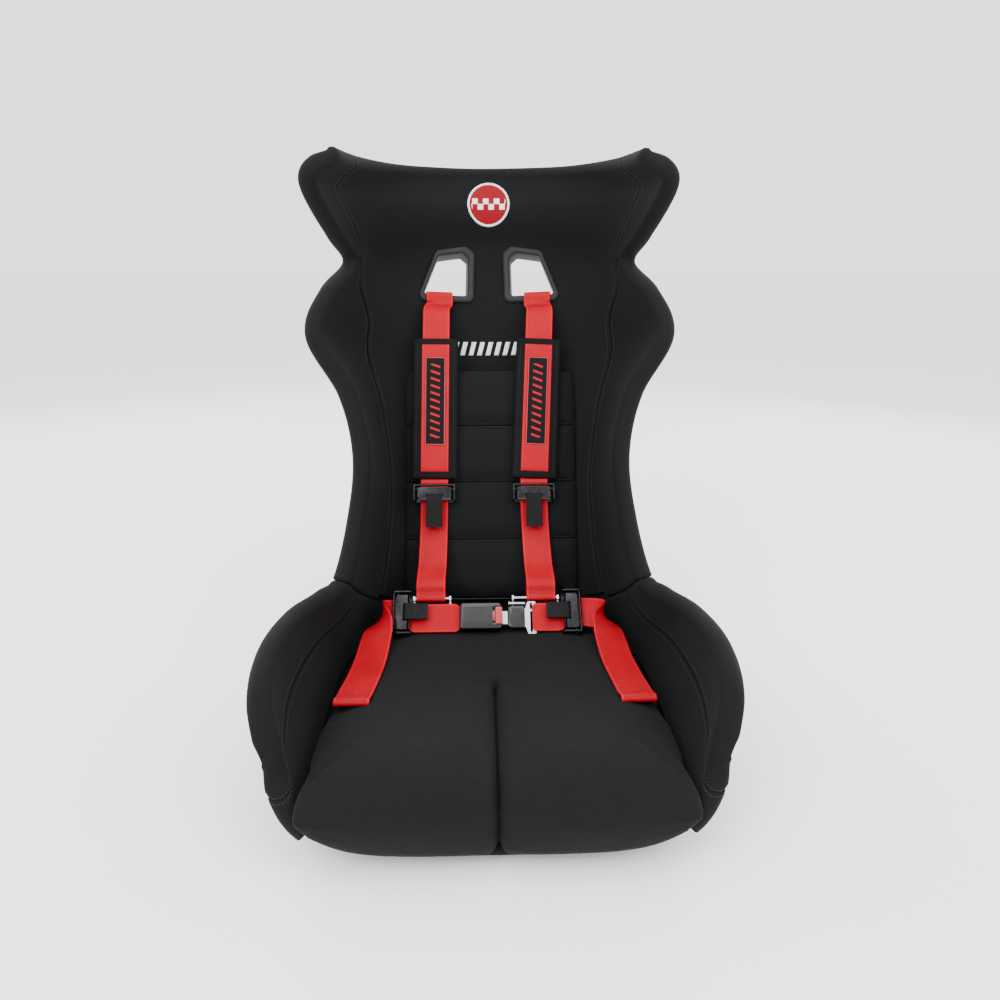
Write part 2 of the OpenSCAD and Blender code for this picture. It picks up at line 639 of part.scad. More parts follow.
// Moulded housing, open at the tongue end and over the button
module buckle_cover() {
    bx = buckle[0] / 2;
    bz = buckle[1] / 2;
    color(black) buckle_place() difference() {
        rotate([90, 0, 0]) linear_extrude(buckle[2], center = true)
            polygon(rounded([[-bx, 4 - bz], [-bx, bz - 4], [5 - bx, bz], [bx, bz], [bx, -bz], [5 - bx, -bz]], 3));
        translate([5 - bx, -8, -18]) cube([buckle[0], 16, 36]);
        translate([bx - 16.5, -14, -16]) cube([20, 10, 32]);
    }
}

// Steel channel that the tongue slides along
module buckle_frame()
    color(steel) buckle_place() {
        translate([-29.5, 4.5, -17]) cube([62, 2.5, 34]);
        for (z = [-17, 14.5]) translate([-29.5, -5, z]) cube([40, 9.6, 2.5]);
    }

// Button at the tongue end; it is pressed in along -X
module release_button()
    color(red) buckle_place() {
        translate([24, -12.6, -15]) cube([12, 8.2, 30]);
        translate([-9, -7.2, -8]) cube([34, 2.7, 16]);
    }

// Helical spring behind the button's leg
module button_spring() {
    turns = 5;
    steps = 12;
    coil_r = 2.6;
    color(steel) buckle_place() loft([for (i = [0 : turns * steps])
        let (a = 360 * i / steps, mid = [-28.8 + 15 * i / (turns * steps), -3.2 + coil_r * cos(a), coil_r * sin(a)])
        [for (k = [0 : 5]) mid + 0.5 * (cos(60 * k) * [1, 0, 0] - sin(60 * k) * [0, cos(a), sin(a)])]]);
}

// Plate that drops behind the tongue's window; it is drawn just clear of the tongue
module latch()
    color(steel) buckle_place() {
        translate([4, -2.6, -8]) cube([12, 1.8, 16]);
        translate([9, -1, -5]) cube([3, 2, 10]);
    }

// Steel tongue: the blade in the buckle and the eye that the lap link is sewn through
module tongue()
    color(steel) buckle_place() difference() {
        rotate([90, 0, 0]) translate([0, 0, -tongue_t - 1.4]) linear_extrude(tongue_t)
            polygon(rounded([[0, -11], [44, -11], [48, -16], [75, -16], [79, -28], [92, -28],
                [92, 28], [79, 28], [75, 16], [48, 16], [44, 11], [0, 11]], 1.5));
        translate([5, -1, -6]) cube([12, 8, 12]);
        translate([82.5, -1, -25.2]) cube([4, 8, 50.4]);
    }

module tongue_cover()
    color(black) buckle_place() difference() {
        rotate([90, 0, 0]) linear_extrude(11, center = true)
            polygon(rounded([[44.5, -16], [50, -20], [73.5, -20], [73.5, 20], [50, 20], [44.5, 16]], 3));
        translate([40, 1.1, -16.3]) cube([50, 3.1, 32.6]);
    }

// ---------- Assembly ----------
shell();
edge_trim();
mount_pad(-1);  // mount_pad_left
mount_pad(1);  // mount_pad_right
mount_inserts(-1);  // mount_inserts_left
mount_inserts(1);  // mount_inserts_right
slot_bezel(-1);  // slot_bezel_left
slot_bezel(1);  // slot_bezel_right
slot_rear_ring(-1);  // slot_rear_ring_left
slot_rear_ring(1);  // slot_rear_ring_right
head_cover();
back_cover();
shoulder_cover(-1);  // shoulder_cover_left
shoulder_cover(1);  // shoulder_cover_right
hip_cover(-1);  // hip_cover_left
hip_cover(1);  // hip_cover_right
pan_cover();
back_cushion();
seat_cushion();
badge();
stitched_bars();
shoulder_strap(0);  // shoulder_strap_left
shoulder_strap(1);  // shoulder_strap_right
lower_strap(0);  // lower_strap_left
lower_strap(1);  // lower_strap_right
shoulder_pad(0);  // shoulder_pad_left
shoulder_pad(1);  // shoulder_pad_right
pad_band(0);  // pad_band_left
pad_band(1);  // pad_band_right
pad_label(0);  // pad_label_left
pad_label(1);  // pad_label_right
shoulder_adjuster(0);  // shoulder_adjuster_left
shoulder_adjuster(1);  // shoulder_adjuster_right
shoulder_cam(0);  // shoulder_cam_left
shoulder_cam(1);  // shoulder_cam_right
shoulder_tab(0);  // shoulder_tab_left
shoulder_tab(1);  // shoulder_tab_right
lap_adjuster(0);  // lap_adjuster_left
lap_adjuster(1);  // lap_adjuster_right
lap_cam(0);  // lap_cam_left
lap_cam(1);  // lap_cam_right
lap_tab(0);  // lap_tab_left
lap_tab(1);  // lap_tab_right
lap_belt(0);  // lap_belt_left
lap_belt(1);  // lap_belt_right
lap_link(0);  // lap_link_left
lap_link(1);  // lap_link_right
buckle_frame();
buckle_cover();
release_button();
button_spring();
latch();
tongue();
tongue_cover();
strap_bar(0);  // strap_bar_left
strap_bar(1);  // strap_bar_right
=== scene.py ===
# A fixed-back racing seat with its harness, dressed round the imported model.
# Metres. X across the seat, -Y to the front, +Z up; the origin is on the floor under the pan.
import math

import bmesh
import bpy
import numpy as np
from mathutils import Matrix, Vector
from mathutils.bvhtree import BVHTree


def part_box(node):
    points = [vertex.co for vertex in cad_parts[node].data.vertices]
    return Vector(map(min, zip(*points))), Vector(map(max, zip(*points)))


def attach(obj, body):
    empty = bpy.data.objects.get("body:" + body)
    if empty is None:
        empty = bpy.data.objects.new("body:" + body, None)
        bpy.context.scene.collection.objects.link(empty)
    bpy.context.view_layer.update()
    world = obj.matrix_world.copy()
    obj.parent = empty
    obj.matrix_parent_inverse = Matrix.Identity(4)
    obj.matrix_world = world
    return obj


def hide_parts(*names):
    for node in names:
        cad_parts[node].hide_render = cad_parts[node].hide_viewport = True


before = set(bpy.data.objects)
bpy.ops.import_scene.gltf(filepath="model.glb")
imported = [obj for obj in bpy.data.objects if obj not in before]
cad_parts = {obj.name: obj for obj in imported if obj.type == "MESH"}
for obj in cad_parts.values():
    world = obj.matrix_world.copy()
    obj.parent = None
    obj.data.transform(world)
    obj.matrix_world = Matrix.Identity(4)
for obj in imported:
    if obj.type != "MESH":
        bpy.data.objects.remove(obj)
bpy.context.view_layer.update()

# ---------- Studio ----------
# A pale floor under large soft lamps. The camera stands in front of the seat at head height
# and looks down into it; lamps behind keep the shell's back readable from the rear.
MM = 0.001
camera = bpy.data.objects.new("camera", bpy.data.cameras.new("camera"))
bpy.context.scene.collection.objects.link(camera)
bpy.context.scene.camera = camera
camera.data.lens = 26.46
camera.data.sensor_width = 36
camera.location = (-0.017, -1.045, 0.685)
camera.rotation_euler = (math.radians(90 - 18), 0, math.radians(-1.5))


def lamp(name, place, size, power, aim=(0, 0.05, 0.4)):
    """A square soft box that points at the seat."""
    light = bpy.data.lights.new(name, "AREA")
    light.size = size
    light.energy = power
    made = bpy.data.objects.new(name, light)
    made.location = place
    made.rotation_euler = (Vector(aim) - Vector(place)).to_track_quat("-Z", "Y").to_euler()
    bpy.context.scene.collection.objects.link(made)


lamp("lamp_key", (-1.5, -1.9, 2.3), 1.6, 62)
lamp("lamp_fill", (1.9, -1.6, 1.6), 1.8, 34)
lamp("lamp_top", (0.1, -0.3, 2.6), 1.4, 26, (0, 0.1, 0.2))
lamp("lamp_back_left", (-1.7, 2.1, 1.8), 1.6, 48)
lamp("lamp_back_right", (1.8, 2.0, 1.5), 1.6, 36)
world = bpy.data.worlds.new("studio")
bpy.context.scene.world = world
world.use_nodes = True
world.node_tree.nodes["Background"].inputs["Color"].default_value = (1, 1, 1, 1)
world.node_tree.nodes["Background"].inputs["Strength"].default_value = 2.2


def tone(code):
    """An sRGB hex colour as linear RGBA."""
    parts = [int(code[i:i + 2], 16) / 255 for i in (1, 3, 5)]
    return tuple(p / 12.92 if p <= 0.04045 else ((p + 0.055) / 1.055) ** 2.4 for p in parts) + (1,)


def add(material, kind, settings=None, inputs=None):
    """Adds a node with its settings; an input is a value, or the socket that feeds it."""
    made = material.node_tree.nodes.new(kind)
    for key, value in (settings or {}).items():
        setattr(made, key, value)
    for key, value in (inputs or {}).items():
        if isinstance(value, bpy.types.NodeSocket):
            material.node_tree.links.new(value, made.inputs[key])
        else:
            made.inputs[key].default_value = value
    return made


def finish_of(name, roughness, metallic=0.0, **more):
    """A material with its Principled shader set; more holds the shader's other sockets."""
    made = bpy.data.materials.new(name)
    made.use_nodes = True
    shader = made.node_tree.nodes["Principled BSDF"]
    shader.inputs["Roughness"].default_value = roughness
    shader.inputs["Metallic"].default_value = metallic
    for key, value in more.items():
        shader.inputs[key.replace("_", " ")].default_value = value
    return made, shader


def feed(material, shader, colour=None, roughness=None, height=None, depth=0.0002, strength=0.5):
    """Joins a pattern's colour, roughness and relief to the shader."""
    links = material.node_tree.links
    if colour is not None:
        links.new(colour, shader.inputs["Base Color"])
    if roughness is not None:
        links.new(roughness, shader.inputs["Roughness"])
    if height is not None:
        bump = add(material, "ShaderNodeBump", None, {"Strength": strength, "Distance": depth,
                                                      "Height": height})
        links.new(bump.outputs[0], shader.inputs["Normal"])


def mixed(material, factor, dark, light):
    """Two colours, or two sockets, mixed by a factor."""
    return add(material, "ShaderNodeMix", {"data_type": "RGBA"}, {0: factor, 6: dark, 7: light}).outputs[2]


WAVE = 0.314           # a wave texture's scale times the spacing of its bands


def coordinates(material, kind):
    """The socket of a piece's own Object or UV coordinates."""
    return add(material, "ShaderNodeTexCoord").outputs[kind]


def clouds(material, scale, detail=2.0):
    """Noise on a piece's own coordinates, for wear, grain and uneven colour."""
    return add(material, "ShaderNodeTexNoise", None,
               {"Vector": coordinates(material, "Object"), "Scale": scale, "Detail": detail}).outputs[0]


def waves(material, where, direction, spacing, distortion=0.0):
    """Bands a given spacing apart in metres; where is the socket of coordinates."""
    return add(material, "ShaderNodeTexWave", {"bands_direction": direction},
               {"Vector": where, "Scale": WAVE / spacing, "Distortion": distortion}).outputs[1]


def maths(material, operation, *values):
    """One step of arithmetic on sockets or values."""
    return add(material, "ShaderNodeMath", {"operation": operation}, dict(enumerate(values))).outputs[0]


def ranged(material, factor, low, high, start=0.0, stop=1.0):
    """A factor between start and stop, spread from low to high."""
    return add(material, "ShaderNodeMapRange", None, {0: factor, 1: start, 2: stop, 3: low,
                                                      4: high}).outputs[0]


def worn(name, roughness, dark, light, wear, grain=None, span=None, depth=0.0002, strength=0.5, **more):
    """A plain finish whose colour follows its wear, as its roughness does over a span. wear and grain
    are a noise's scale and detail; grain gives the relief, and may be the wear's own noise."""
    made, shader = finish_of(name, roughness, **more)
    patches = clouds(made, *wear)
    relief = patches if grain == wear else clouds(made, *grain) if grain else None
    feed(made, shader, mixed(made, patches, tone(dark), tone(light)),
         ranged(made, patches, *span) if span else None, relief, depth, strength)
    return made


# The floor is painted board: matte, a little uneven in its colour.
bpy.ops.object.select_all(action="DESELECT")
bpy.ops.mesh.primitive_plane_add(size=120, location=(0, 0, -0.0005))
floor = bpy.context.object
floor.name = "floor"
floor_paint, shader = finish_of("painted board", 0.7)
paint_cloud = add(floor_paint, "ShaderNodeTexNoise", None, {"Scale": 3, "Detail": 5})
feed(floor_paint, shader, mixed(floor_paint, paint_cloud.outputs[0], tone("#f6f6f5"), tone("#fbfbfb")))
floor.data.materials.append(floor_paint)

# ---------- Form of the shell ----------
# The seat is one moulded tub: a spine curve carries cross sections that are flat in the middle and
# curl up to the rim. Rows run from the front lip to the top of the head: spine y and z, rim y and z,
# half width, then the shares where the flat ends and the wall starts, and how far it has climbed.
SECTIONS = np.array([
    [-340, 22, -316, 128, 262, 0.80, 0.95, 0.08],
    [-250, 7, -284, 188, 280, 0.80, 0.93, 0.08],
    [-150, 3, -205, 208, 288, 0.80, 0.94, 0.08],
    [20, 3, -112, 209, 279, 0.84, 0.97, 0.08],
    [125, 6, -45, 206, 254, 0.86, 1.01, 0.10],
    [188, 82, 0, 213, 232, 0.82, 1.00, 0.12],
    [222, 170, 70, 285, 217, 0.80, 1.00, 0.12],
    [270, 275, 125, 380, 210, 0.82, 1.00, 0.12],
    [330, 410, 165, 480, 235, 0.76, 0.98, 0.15],
    [382, 525, 180, 570, 284, 0.66, 0.90, 0.20],
    [415, 605, 235, 635, 268, 0.62, 0.90, 0.25],
    [440, 675, 315, 683, 240, 0.60, 0.90, 0.30],
    [450, 730, 265, 730, 257, 0.52, 0.92, 0.30],
    [452, 790, 195, 805, 279, 0.50, 0.95, 0.30],
    [447, 834, 218, 840, 243, 0.50, 0.95, 0.30],
], float)
TOP = len(SECTIONS) - 1
NECK = 11.2            # seams meet the rim in the neck notch here
HIP = 5.0              # hip panels end and shoulder panels start here
WALL = 5               # moulded wall
ROLL = 15              # padded roll round the rim
BACKING = WALL / 2 + 1.5
ROLLED = 200           # degrees that the padding turns round the rim before its hem
HEM_T, HEM_S = {1: 0.36, -1: 0.18}, 0.05    # length of the hem at the head or the lip, and at the sides
HEM_OFF, BACKING_OFF = 3.7, 1.5             # how far the hem and its backing stand off the shell
CORNER = 30            # mm from a corner of two rolls in which the foam is rounded off
SEAM_REACH = 7         # mm from a seam in which the foam is pulled down


def ease(u):
    c = np.clip(u, 0, 1)
    return c * c * (3 - 2 * c)


def catmull(a, b, d, e, u):
    """The point at u between b and d on a smooth curve through a, b, d and e."""
    return 0.5 * (2 * b + (d - a) * u + (2 * a - 5 * b + 4 * d - e) * u ** 2 + (3 * b - a - 3 * d + e) * u ** 3)


def section(t):
    """The row of the table at t, by a Catmull-Rom curve."""
    c = np.clip(t, 0, TOP)
    i = np.minimum(c.astype(int), TOP - 1)
    u = (c - i)[..., None]
    a, b = SECTIONS[np.maximum(i - 1, 0)], SECTIONS[i]
    d, e = SECTIONS[i + 1], SECTIONS[np.minimum(i + 2, TOP)]
    return catmull(a, b, d, e, u)


def inner(t, s):
    """Points on the shell's inner face, in millimetres; s is -1 at the left rim and 1 at the right."""
    t, s = np.broadcast_arrays(np.asarray(t, float), np.asarray(s, float))
    q = section(t)
    a = np.abs(s)
    w, low = q[..., 4], np.maximum(q[..., 1], WALL)
    y, ry, rz, lift = q[..., 0], q[..., 2], q[..., 3], q[..., 7]
    b0, b1, b2, b3 = (1 - a) ** 3, 3 * (1 - a) ** 2 * a, 3 * (1 - a) * a * a, a ** 3
    x = b1 * q[..., 5] * w + b2 * q[..., 6] * w + b3 * w
    py = (b0 + b1) * y + b2 * (y + (ry - y) * lift) + b3 * ry
    pz = (b0 + b1) * low + b2 * (low + (rz - low) * lift) + b3 * rz
    return np.stack([np.where(s < 0, -x, x), py, pz], -1)


def unit(v):
    return v / np.maximum(np.linalg.norm(v, axis=-1, keepdims=True), 1e-12)


def along(t, s):
    return unit(inner(np.minimum(t + 0.002, TOP), s) - inner(np.maximum(t - 0.002, 0), s))


def across(t, s):
    return unit(inner(t, np.minimum(s + 0.002, 1)) - inner(t, np.maximum(s - 0.002, -1)))


def normal(t, s):
    return unit(np.cross(across(t, s), along(t, s)))


def face(t, s, off):
    return inner(t, s) + np.asarray(off)[..., None] * normal(t, s)


def foam(t, s):
    """Extra foam on the back above the cushion, and more on the head restraint."""
    return (6 * ease((t - 8.6) / 1) + 14 * ease((t - 11.5) / 1.1)) * ease((TOP - t) / 1.3) * (1 - np.abs(s) ** 3)


def padding(t, s, r, side_turn, end_turn, side, end):
    """Points on the padding and the directions it faces; the turns are degrees rolled over an edge."""
    t, s, side_turn, end_turn = np.broadcast_arrays(
        *[np.asarray(v, float) for v in (t, s, side_turn, end_turn)])
    turn = np.hypot(side_turn, end_turn)
    n = normal(t, s)
    out = unit(side_turn[..., None] * side * across(t, s) + end_turn[..., None] * end * along(t, s))
    a = np.radians(np.minimum(turn, 180))[..., None]
    facing = np.cos(a) * n + np.where(turn[..., None] > 0, np.sin(a) * out, 0)
    outer = r > ROLL / 2
    swell = np.where(turn > 0, 0, foam(t, s)) if outer else np.zeros_like(t)
    points = face(t, s, np.full_like(t, -WALL / 2)) + (r + swell)[..., None] * facing
    # Past 180 degrees the padding thins to a hem on the back of the shell
    most = ROLLED * turn / np.maximum(np.maximum(side_turn, end_turn), 1e-6)
    u = np.where(turn > 180, (turn - 180) / np.maximum(most - 180, 1e-6), 0)
    safe = np.maximum(turn, 1e-6)
    hem_t = np.clip(t - end * HEM_T[end] * u * end_turn / safe, 0, TOP)
    hem_s = np.clip(s - side * HEM_S * u * side_turn / safe, -1, 1)
    off = (-WALL / 2 - r) * (1 - u) + (-WALL - (HEM_OFF if outer else BACKING_OFF)) * u
    back = face(hem_t, hem_s, off)
    return np.where(turn[..., None] > 180, back, points), facing


def quads(rows, cols, first=0, around=False, round_rows=False):
    """Faces of a grid of points, closed across its columns or its rows if asked."""
    made = []
    for r in range(rows if round_rows else rows - 1):
        for c in range(cols if around else cols - 1):
            r2, c2 = (r + 1) % rows, (c + 1) % cols
            made.append((first + r * cols + c, first + r * cols + c2, first + r2 * cols + c2,
                         first + r2 * cols + c))
    return made


def solid(name, points, faces, material, uv=None, angle=40):
    """A mesh object from points in millimetres, faced outwards, with its UV map in metres."""
    mesh = bpy.data.meshes.new(name)
    mesh.from_pydata((np.asarray(points, float) * MM).tolist(), [], faces)
    if uv is not None:
        index = np.empty(len(mesh.loops), int)
        mesh.loops.foreach_get("vertex_index", index)
        mesh.uv_layers.new(name="UVMap").data.foreach_set("uv", (np.asarray(uv, float) * MM)[index].ravel())
    shape = bmesh.new()
    shape.from_mesh(mesh)
    if shape.calc_volume(signed=True) < 0:
        bmesh.ops.reverse_faces(shape, faces=shape.faces[:])
    shape.to_mesh(mesh)
    shape.free()
    mesh.materials.append(material)
    made = bpy.data.objects.new(name, mesh)
    bpy.context.scene.collection.objects.link(made)
    smooth(made, angle)
    return made


def choose(*pieces):
    """Selects pieces alone; the first is the active one."""
    bpy.ops.object.select_all(action="DESELECT")
    for piece in pieces:
        piece.select_set(True)
    bpy.context.view_layer.objects.active = pieces[0]


def smooth(piece, angle=40):
    choose(piece)
    bpy.ops.object.shade_smooth_by_angle(angle=math.radians(angle))


def wall(name, outer, backing, material, uv):
    """A closed solid between two grids of the same size."""
    rows, cols = outer.shape[:2]
    half = rows * cols
    faces = quads(rows, cols) + [f[::-1] for f in quads(rows, cols, half)]
    edge = ([(0, c) for c in range(cols)] + [(r, cols - 1) for r in range(1, rows)]
            + [(rows - 1, c) for c in range(cols - 2, -1, -1)] + [(r, 0) for r in range(rows - 2, 0, -1)])
    for k, a in enumerate(edge):
        b = edge[(k + 1) % len(edge)]
        i, j = a[0] * cols + a[1], b[0] * cols + b[1]
        faces.append((j, i, i + half, j + half))
    return solid(name, np.concatenate([outer.reshape(-1, 3), backing.reshape(-1, 3)]), faces, material,
                 np.concatenate([uv.reshape(-1, 2)] * 2))


def modified(piece, kind, **settings):
    """Puts a modifier on a piece and applies it."""
    choose(piece)
    made = piece.modifiers.new("m", kind)
    for key, value in settings.items():
        setattr(made, key, value)
    bpy.ops.object.modifier_apply(modifier=made.name)
    return piece


def belongs(piece, body, node=None):
    """Hides the frame's node that a piece stands for, if one is given, and hangs the piece on its body."""
    if node:
        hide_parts(node)
    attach(piece, body)


# The harness slots: a five-sided outline in a plane that leans with the back, one each side.
SLOT_LEAN, SLOT_YAW, SLOT_FABRIC = math.radians(18), math.radians(8), 22
SLOT_MID = (84, 427, 654)
SLOT = [(-40, -39), (43, -39), (14, 34), (-30, 42), (-42, 32)]


def slot_outline(g, steps=8):
    """The slot's outline grown by g, with rounded corners."""
    pts = [np.array(q) * (1 + g / 42) for q in SLOT]
    r, out = 6 + g / 2, []
    for i, p in enumerate(pts):
        a, b = unit(pts[i - 1] - p), unit(pts[(i + 1) % 5] - p)
        half = math.acos(float(np.clip(a @ b, -1, 1))) / 2
        mid = p + unit(a + b) * r / math.sin(half)
        start, stop = p + a * r / math.tan(half) - mid, p + b * r / math.tan(half) - mid
        out += [mid + r * unit(start + (stop - start) * k / steps) for k in range(steps + 1)]
    return np.array(out)


def slot_place(side):
    """The slot's plane: X across, Y up, Z towards the front, in millimetres."""
    return (Matrix.Translation((side * SLOT_MID[0], SLOT_MID[1], SLOT_MID[2]))
            @ Matrix.Rotation(math.radians(90) - SLOT_LEAN, 4, "X") @ Matrix.Rotation(-SLOT_YAW * side, 4,
                "Y"))


def slot_points(side, outline, off):
    place = np.array(slot_place(side))
    off = np.broadcast_to(np.asarray(off, float), len(outline))
    local = np.column_stack([outline[:, 0] * side, outline[:, 1], off, np.ones(len(outline))])
    return (local @ place.T)[:, :3]


def cut_slots(piece, g):
    """Cuts both slots through a piece."""
    for side in (-1, 1):
        ring = slot_outline(g)
        n = len(ring)
        points = np.concatenate([slot_points(side, ring, -45), slot_points(side, ring, 70)])
        faces = quads(2, n, around=True) + [tuple(range(n))[::-1], tuple(range(n, 2 * n))]
        cutter = solid("cutter", points, faces, piece.data.materials[0])
        modified(piece, "BOOLEAN", operation="DIFFERENCE", solver="EXACT", object=cutter)
        bpy.data.objects.remove(cutter)
    smooth(piece)


# ---------- Moulded shell ----------
# Hand-laid glass fibre in black gelcoat. It shows at the back: satin, with two pressed stiffening
# ribs up the back, a recess between them, and the faint waviness of a hand-laid moulding.
gelcoat = worn("black gelcoat", 0.3, "#0b0b0d", "#121315", (38, 6), (420,), (0.26, 0.4), 0.0002, 0.3,
               Coat_Weight=0.5, Coat_Roughness=0.18)


def shell_back(t, s):
    """How far the back of the shell stands off its plain wall: ribs and a shallow recess."""
    up = ease((t - 5.6) / 0.7) * ease((9.9 - t) / 0.6)
    ribs = 7 * np.exp(-((np.abs(s) - 0.42) / 0.075) ** 4) * up
    recess = -1.5 * ease((0.32 - np.abs(s)) / 0.05) * up
    return ribs + recess


shell_t = np.linspace(0, TOP, 170)[:, None]
shell_s = np.linspace(-1, 1, 111)[None, :]
shell_t, shell_s = np.broadcast_arrays(shell_t, shell_s)
shell_face = inner(shell_t, shell_s)
shell_rear = face(shell_t, shell_s, -WALL - shell_back(shell_t, shell_s))
shell_rear[..., 2] = np.maximum(shell_rear[..., 2], 0)
shell = wall("moulded_shell", shell_face, shell_rear, gelcoat, np.stack([shell_s * 300, shell_t * 70], -1))
cut_slots(shell, 4)
belongs(shell, "seat", "shell")
for name in ("mount_pad_left", "mount_pad_right"):
    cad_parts[name].data.materials.clear()
    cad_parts[name].data.materials.append(gelcoat)

# ---------- Stretch covers ----------
# Foam under knitted stretch fabric: a warp knit with small raised loops, dull black, with a soft
# bloom where it turns away. Each panel is pulled down at its seams, where the stitches pucker it.
cover_knit, shader = finish_of("stretch knit", 0.9, Sheen_Weight=0.05, Sheen_Roughness=0.45,
                               Sheen_Tint=tone("#9fa3a4"), Specular_IOR_Level=0.14)
where = coordinates(cover_knit, "UV")
KNIT = 0.0024          # spacing of the knit's loops, drawn twice as coarse as the real 1.2 mm
wales = waves(cover_knit, where, "X", KNIT, 0.5)
courses = waves(cover_knit, where, "Y", KNIT * 0.8, 0.8)
loops = maths(cover_knit, "MULTIPLY", wales, courses)
cloud = clouds(cover_knit, 7, 5)
knit_colour = mixed(cover_knit, loops, tone("#08090a"), tone("#18191b"))
knit_colour = mixed(cover_knit, ranged(cover_knit, cloud, 0.0, 0.45), knit_colour, tone("#101113"))
feed(cover_knit, shader, knit_colour, None, loops, 0.0005, 0.55)

thread_black = worn("bonded nylon thread", 0.55, "#0e0e0f", "#1e1e20", (900,), Specular_IOR_Level=0.5)

SIDE_ROLL = [10, 22, 34, 46, 58, 70, 82, 94, 106, 118, 130, 142, 154, 167, 180, 188, 194, 200]
SEAM_POINTS = [0, 0.7, 1.6, 2.8, 4.4, 6.4, 9]    # mm from a seam; the grid is fine near it


def spread(length, step, seam_lo, seam_hi):
    """Shares from 0 to 1 along a length, closer together next to a seam."""
    lo, hi = (9 if seam_lo else 0), (9 if seam_hi else 0)
    middle = np.linspace(lo, length - hi, max(3, int((length - lo - hi) / step)))
    parts = [SEAM_POINTS[:-1] if seam_lo else [], middle,
             [length - p for p in SEAM_POINTS[-2::-1]] if seam_hi else []]
    return np.concatenate([np.asarray(p, float) for p in parts]) / length


def seam_line(t):
    """Seam between the back panel and a shoulder panel: up, then out to the neck notch."""
    return 0.62 + 0.354 * ease((t - 9.2) / (NECK - 9.2))


def pulled(d, depth):
    """How far the foam is pulled down at a distance d from a seam."""
    return depth * (1 - np.sqrt(np.clip(1 - np.clip(1 - d / SEAM_REACH, 0, 1) ** 2, 0, 1)))


def stitch_row(name, line, ups, body="seat", pitch=4.2, length=2.9, radius=0.42, material=None):
    """Single stitches along a line: small six-sided lozenges that dip into the cloth at both ends."""
    line, ups = np.asarray(line, float), np.asarray(ups, float)
    run = np.concatenate([[0], np.cumsum(np.linalg.norm(np.diff(line, axis=0), axis=1))])
    points, faces = [], []
    for k in range(int(run[-1] / pitch)):
        at = (k + 0.5) * pitch
        mid, up, ahead = (np.array([np.interp(at + d, run, a[:, i]) for i in range(3)])
                          for a, d in ((line, 0), (ups, 0), (line, 0.5)))
        ahead, up = unit(ahead - mid), unit(up)
        sideways = unit(np.cross(ahead, up))
        first = len(points)
        for share, lift, thin in ((-1, -0.8, 0.5), (-0.45, 0.25, 1), (0.45, 0.25, 1), (1, -0.8, 0.5)):
            for m in range(6):
                a = math.radians(60 * m)
                points.append(mid + ahead * share * length / 2
                              + radius * (up * (lift + thin * math.cos(a)) + sideways * thin * math.sin(a)))
        faces += quads(4, 6, first, around=True)
        faces += [tuple(first + m for m in range(5, -1, -1)), tuple(first + 18 + m for m in range(6))]
    made = solid(name, points, faces, material or thread_black, None, 80)
    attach(made, body)
    return made


def relaxed(points, weight, rounds=12):
    """A grid of points drawn towards the mean of their neighbours, each by its weight."""
    for _ in range(rounds):
        mean = points.copy()
        mean[1:-1, 1:-1] = (points[:-2, 1:-1] + points[2:, 1:-1] + points[1:-1, :-2] + points[1:-1, 2:]) / 4
        points = points + weight[..., None] * (mean - points)
    return points


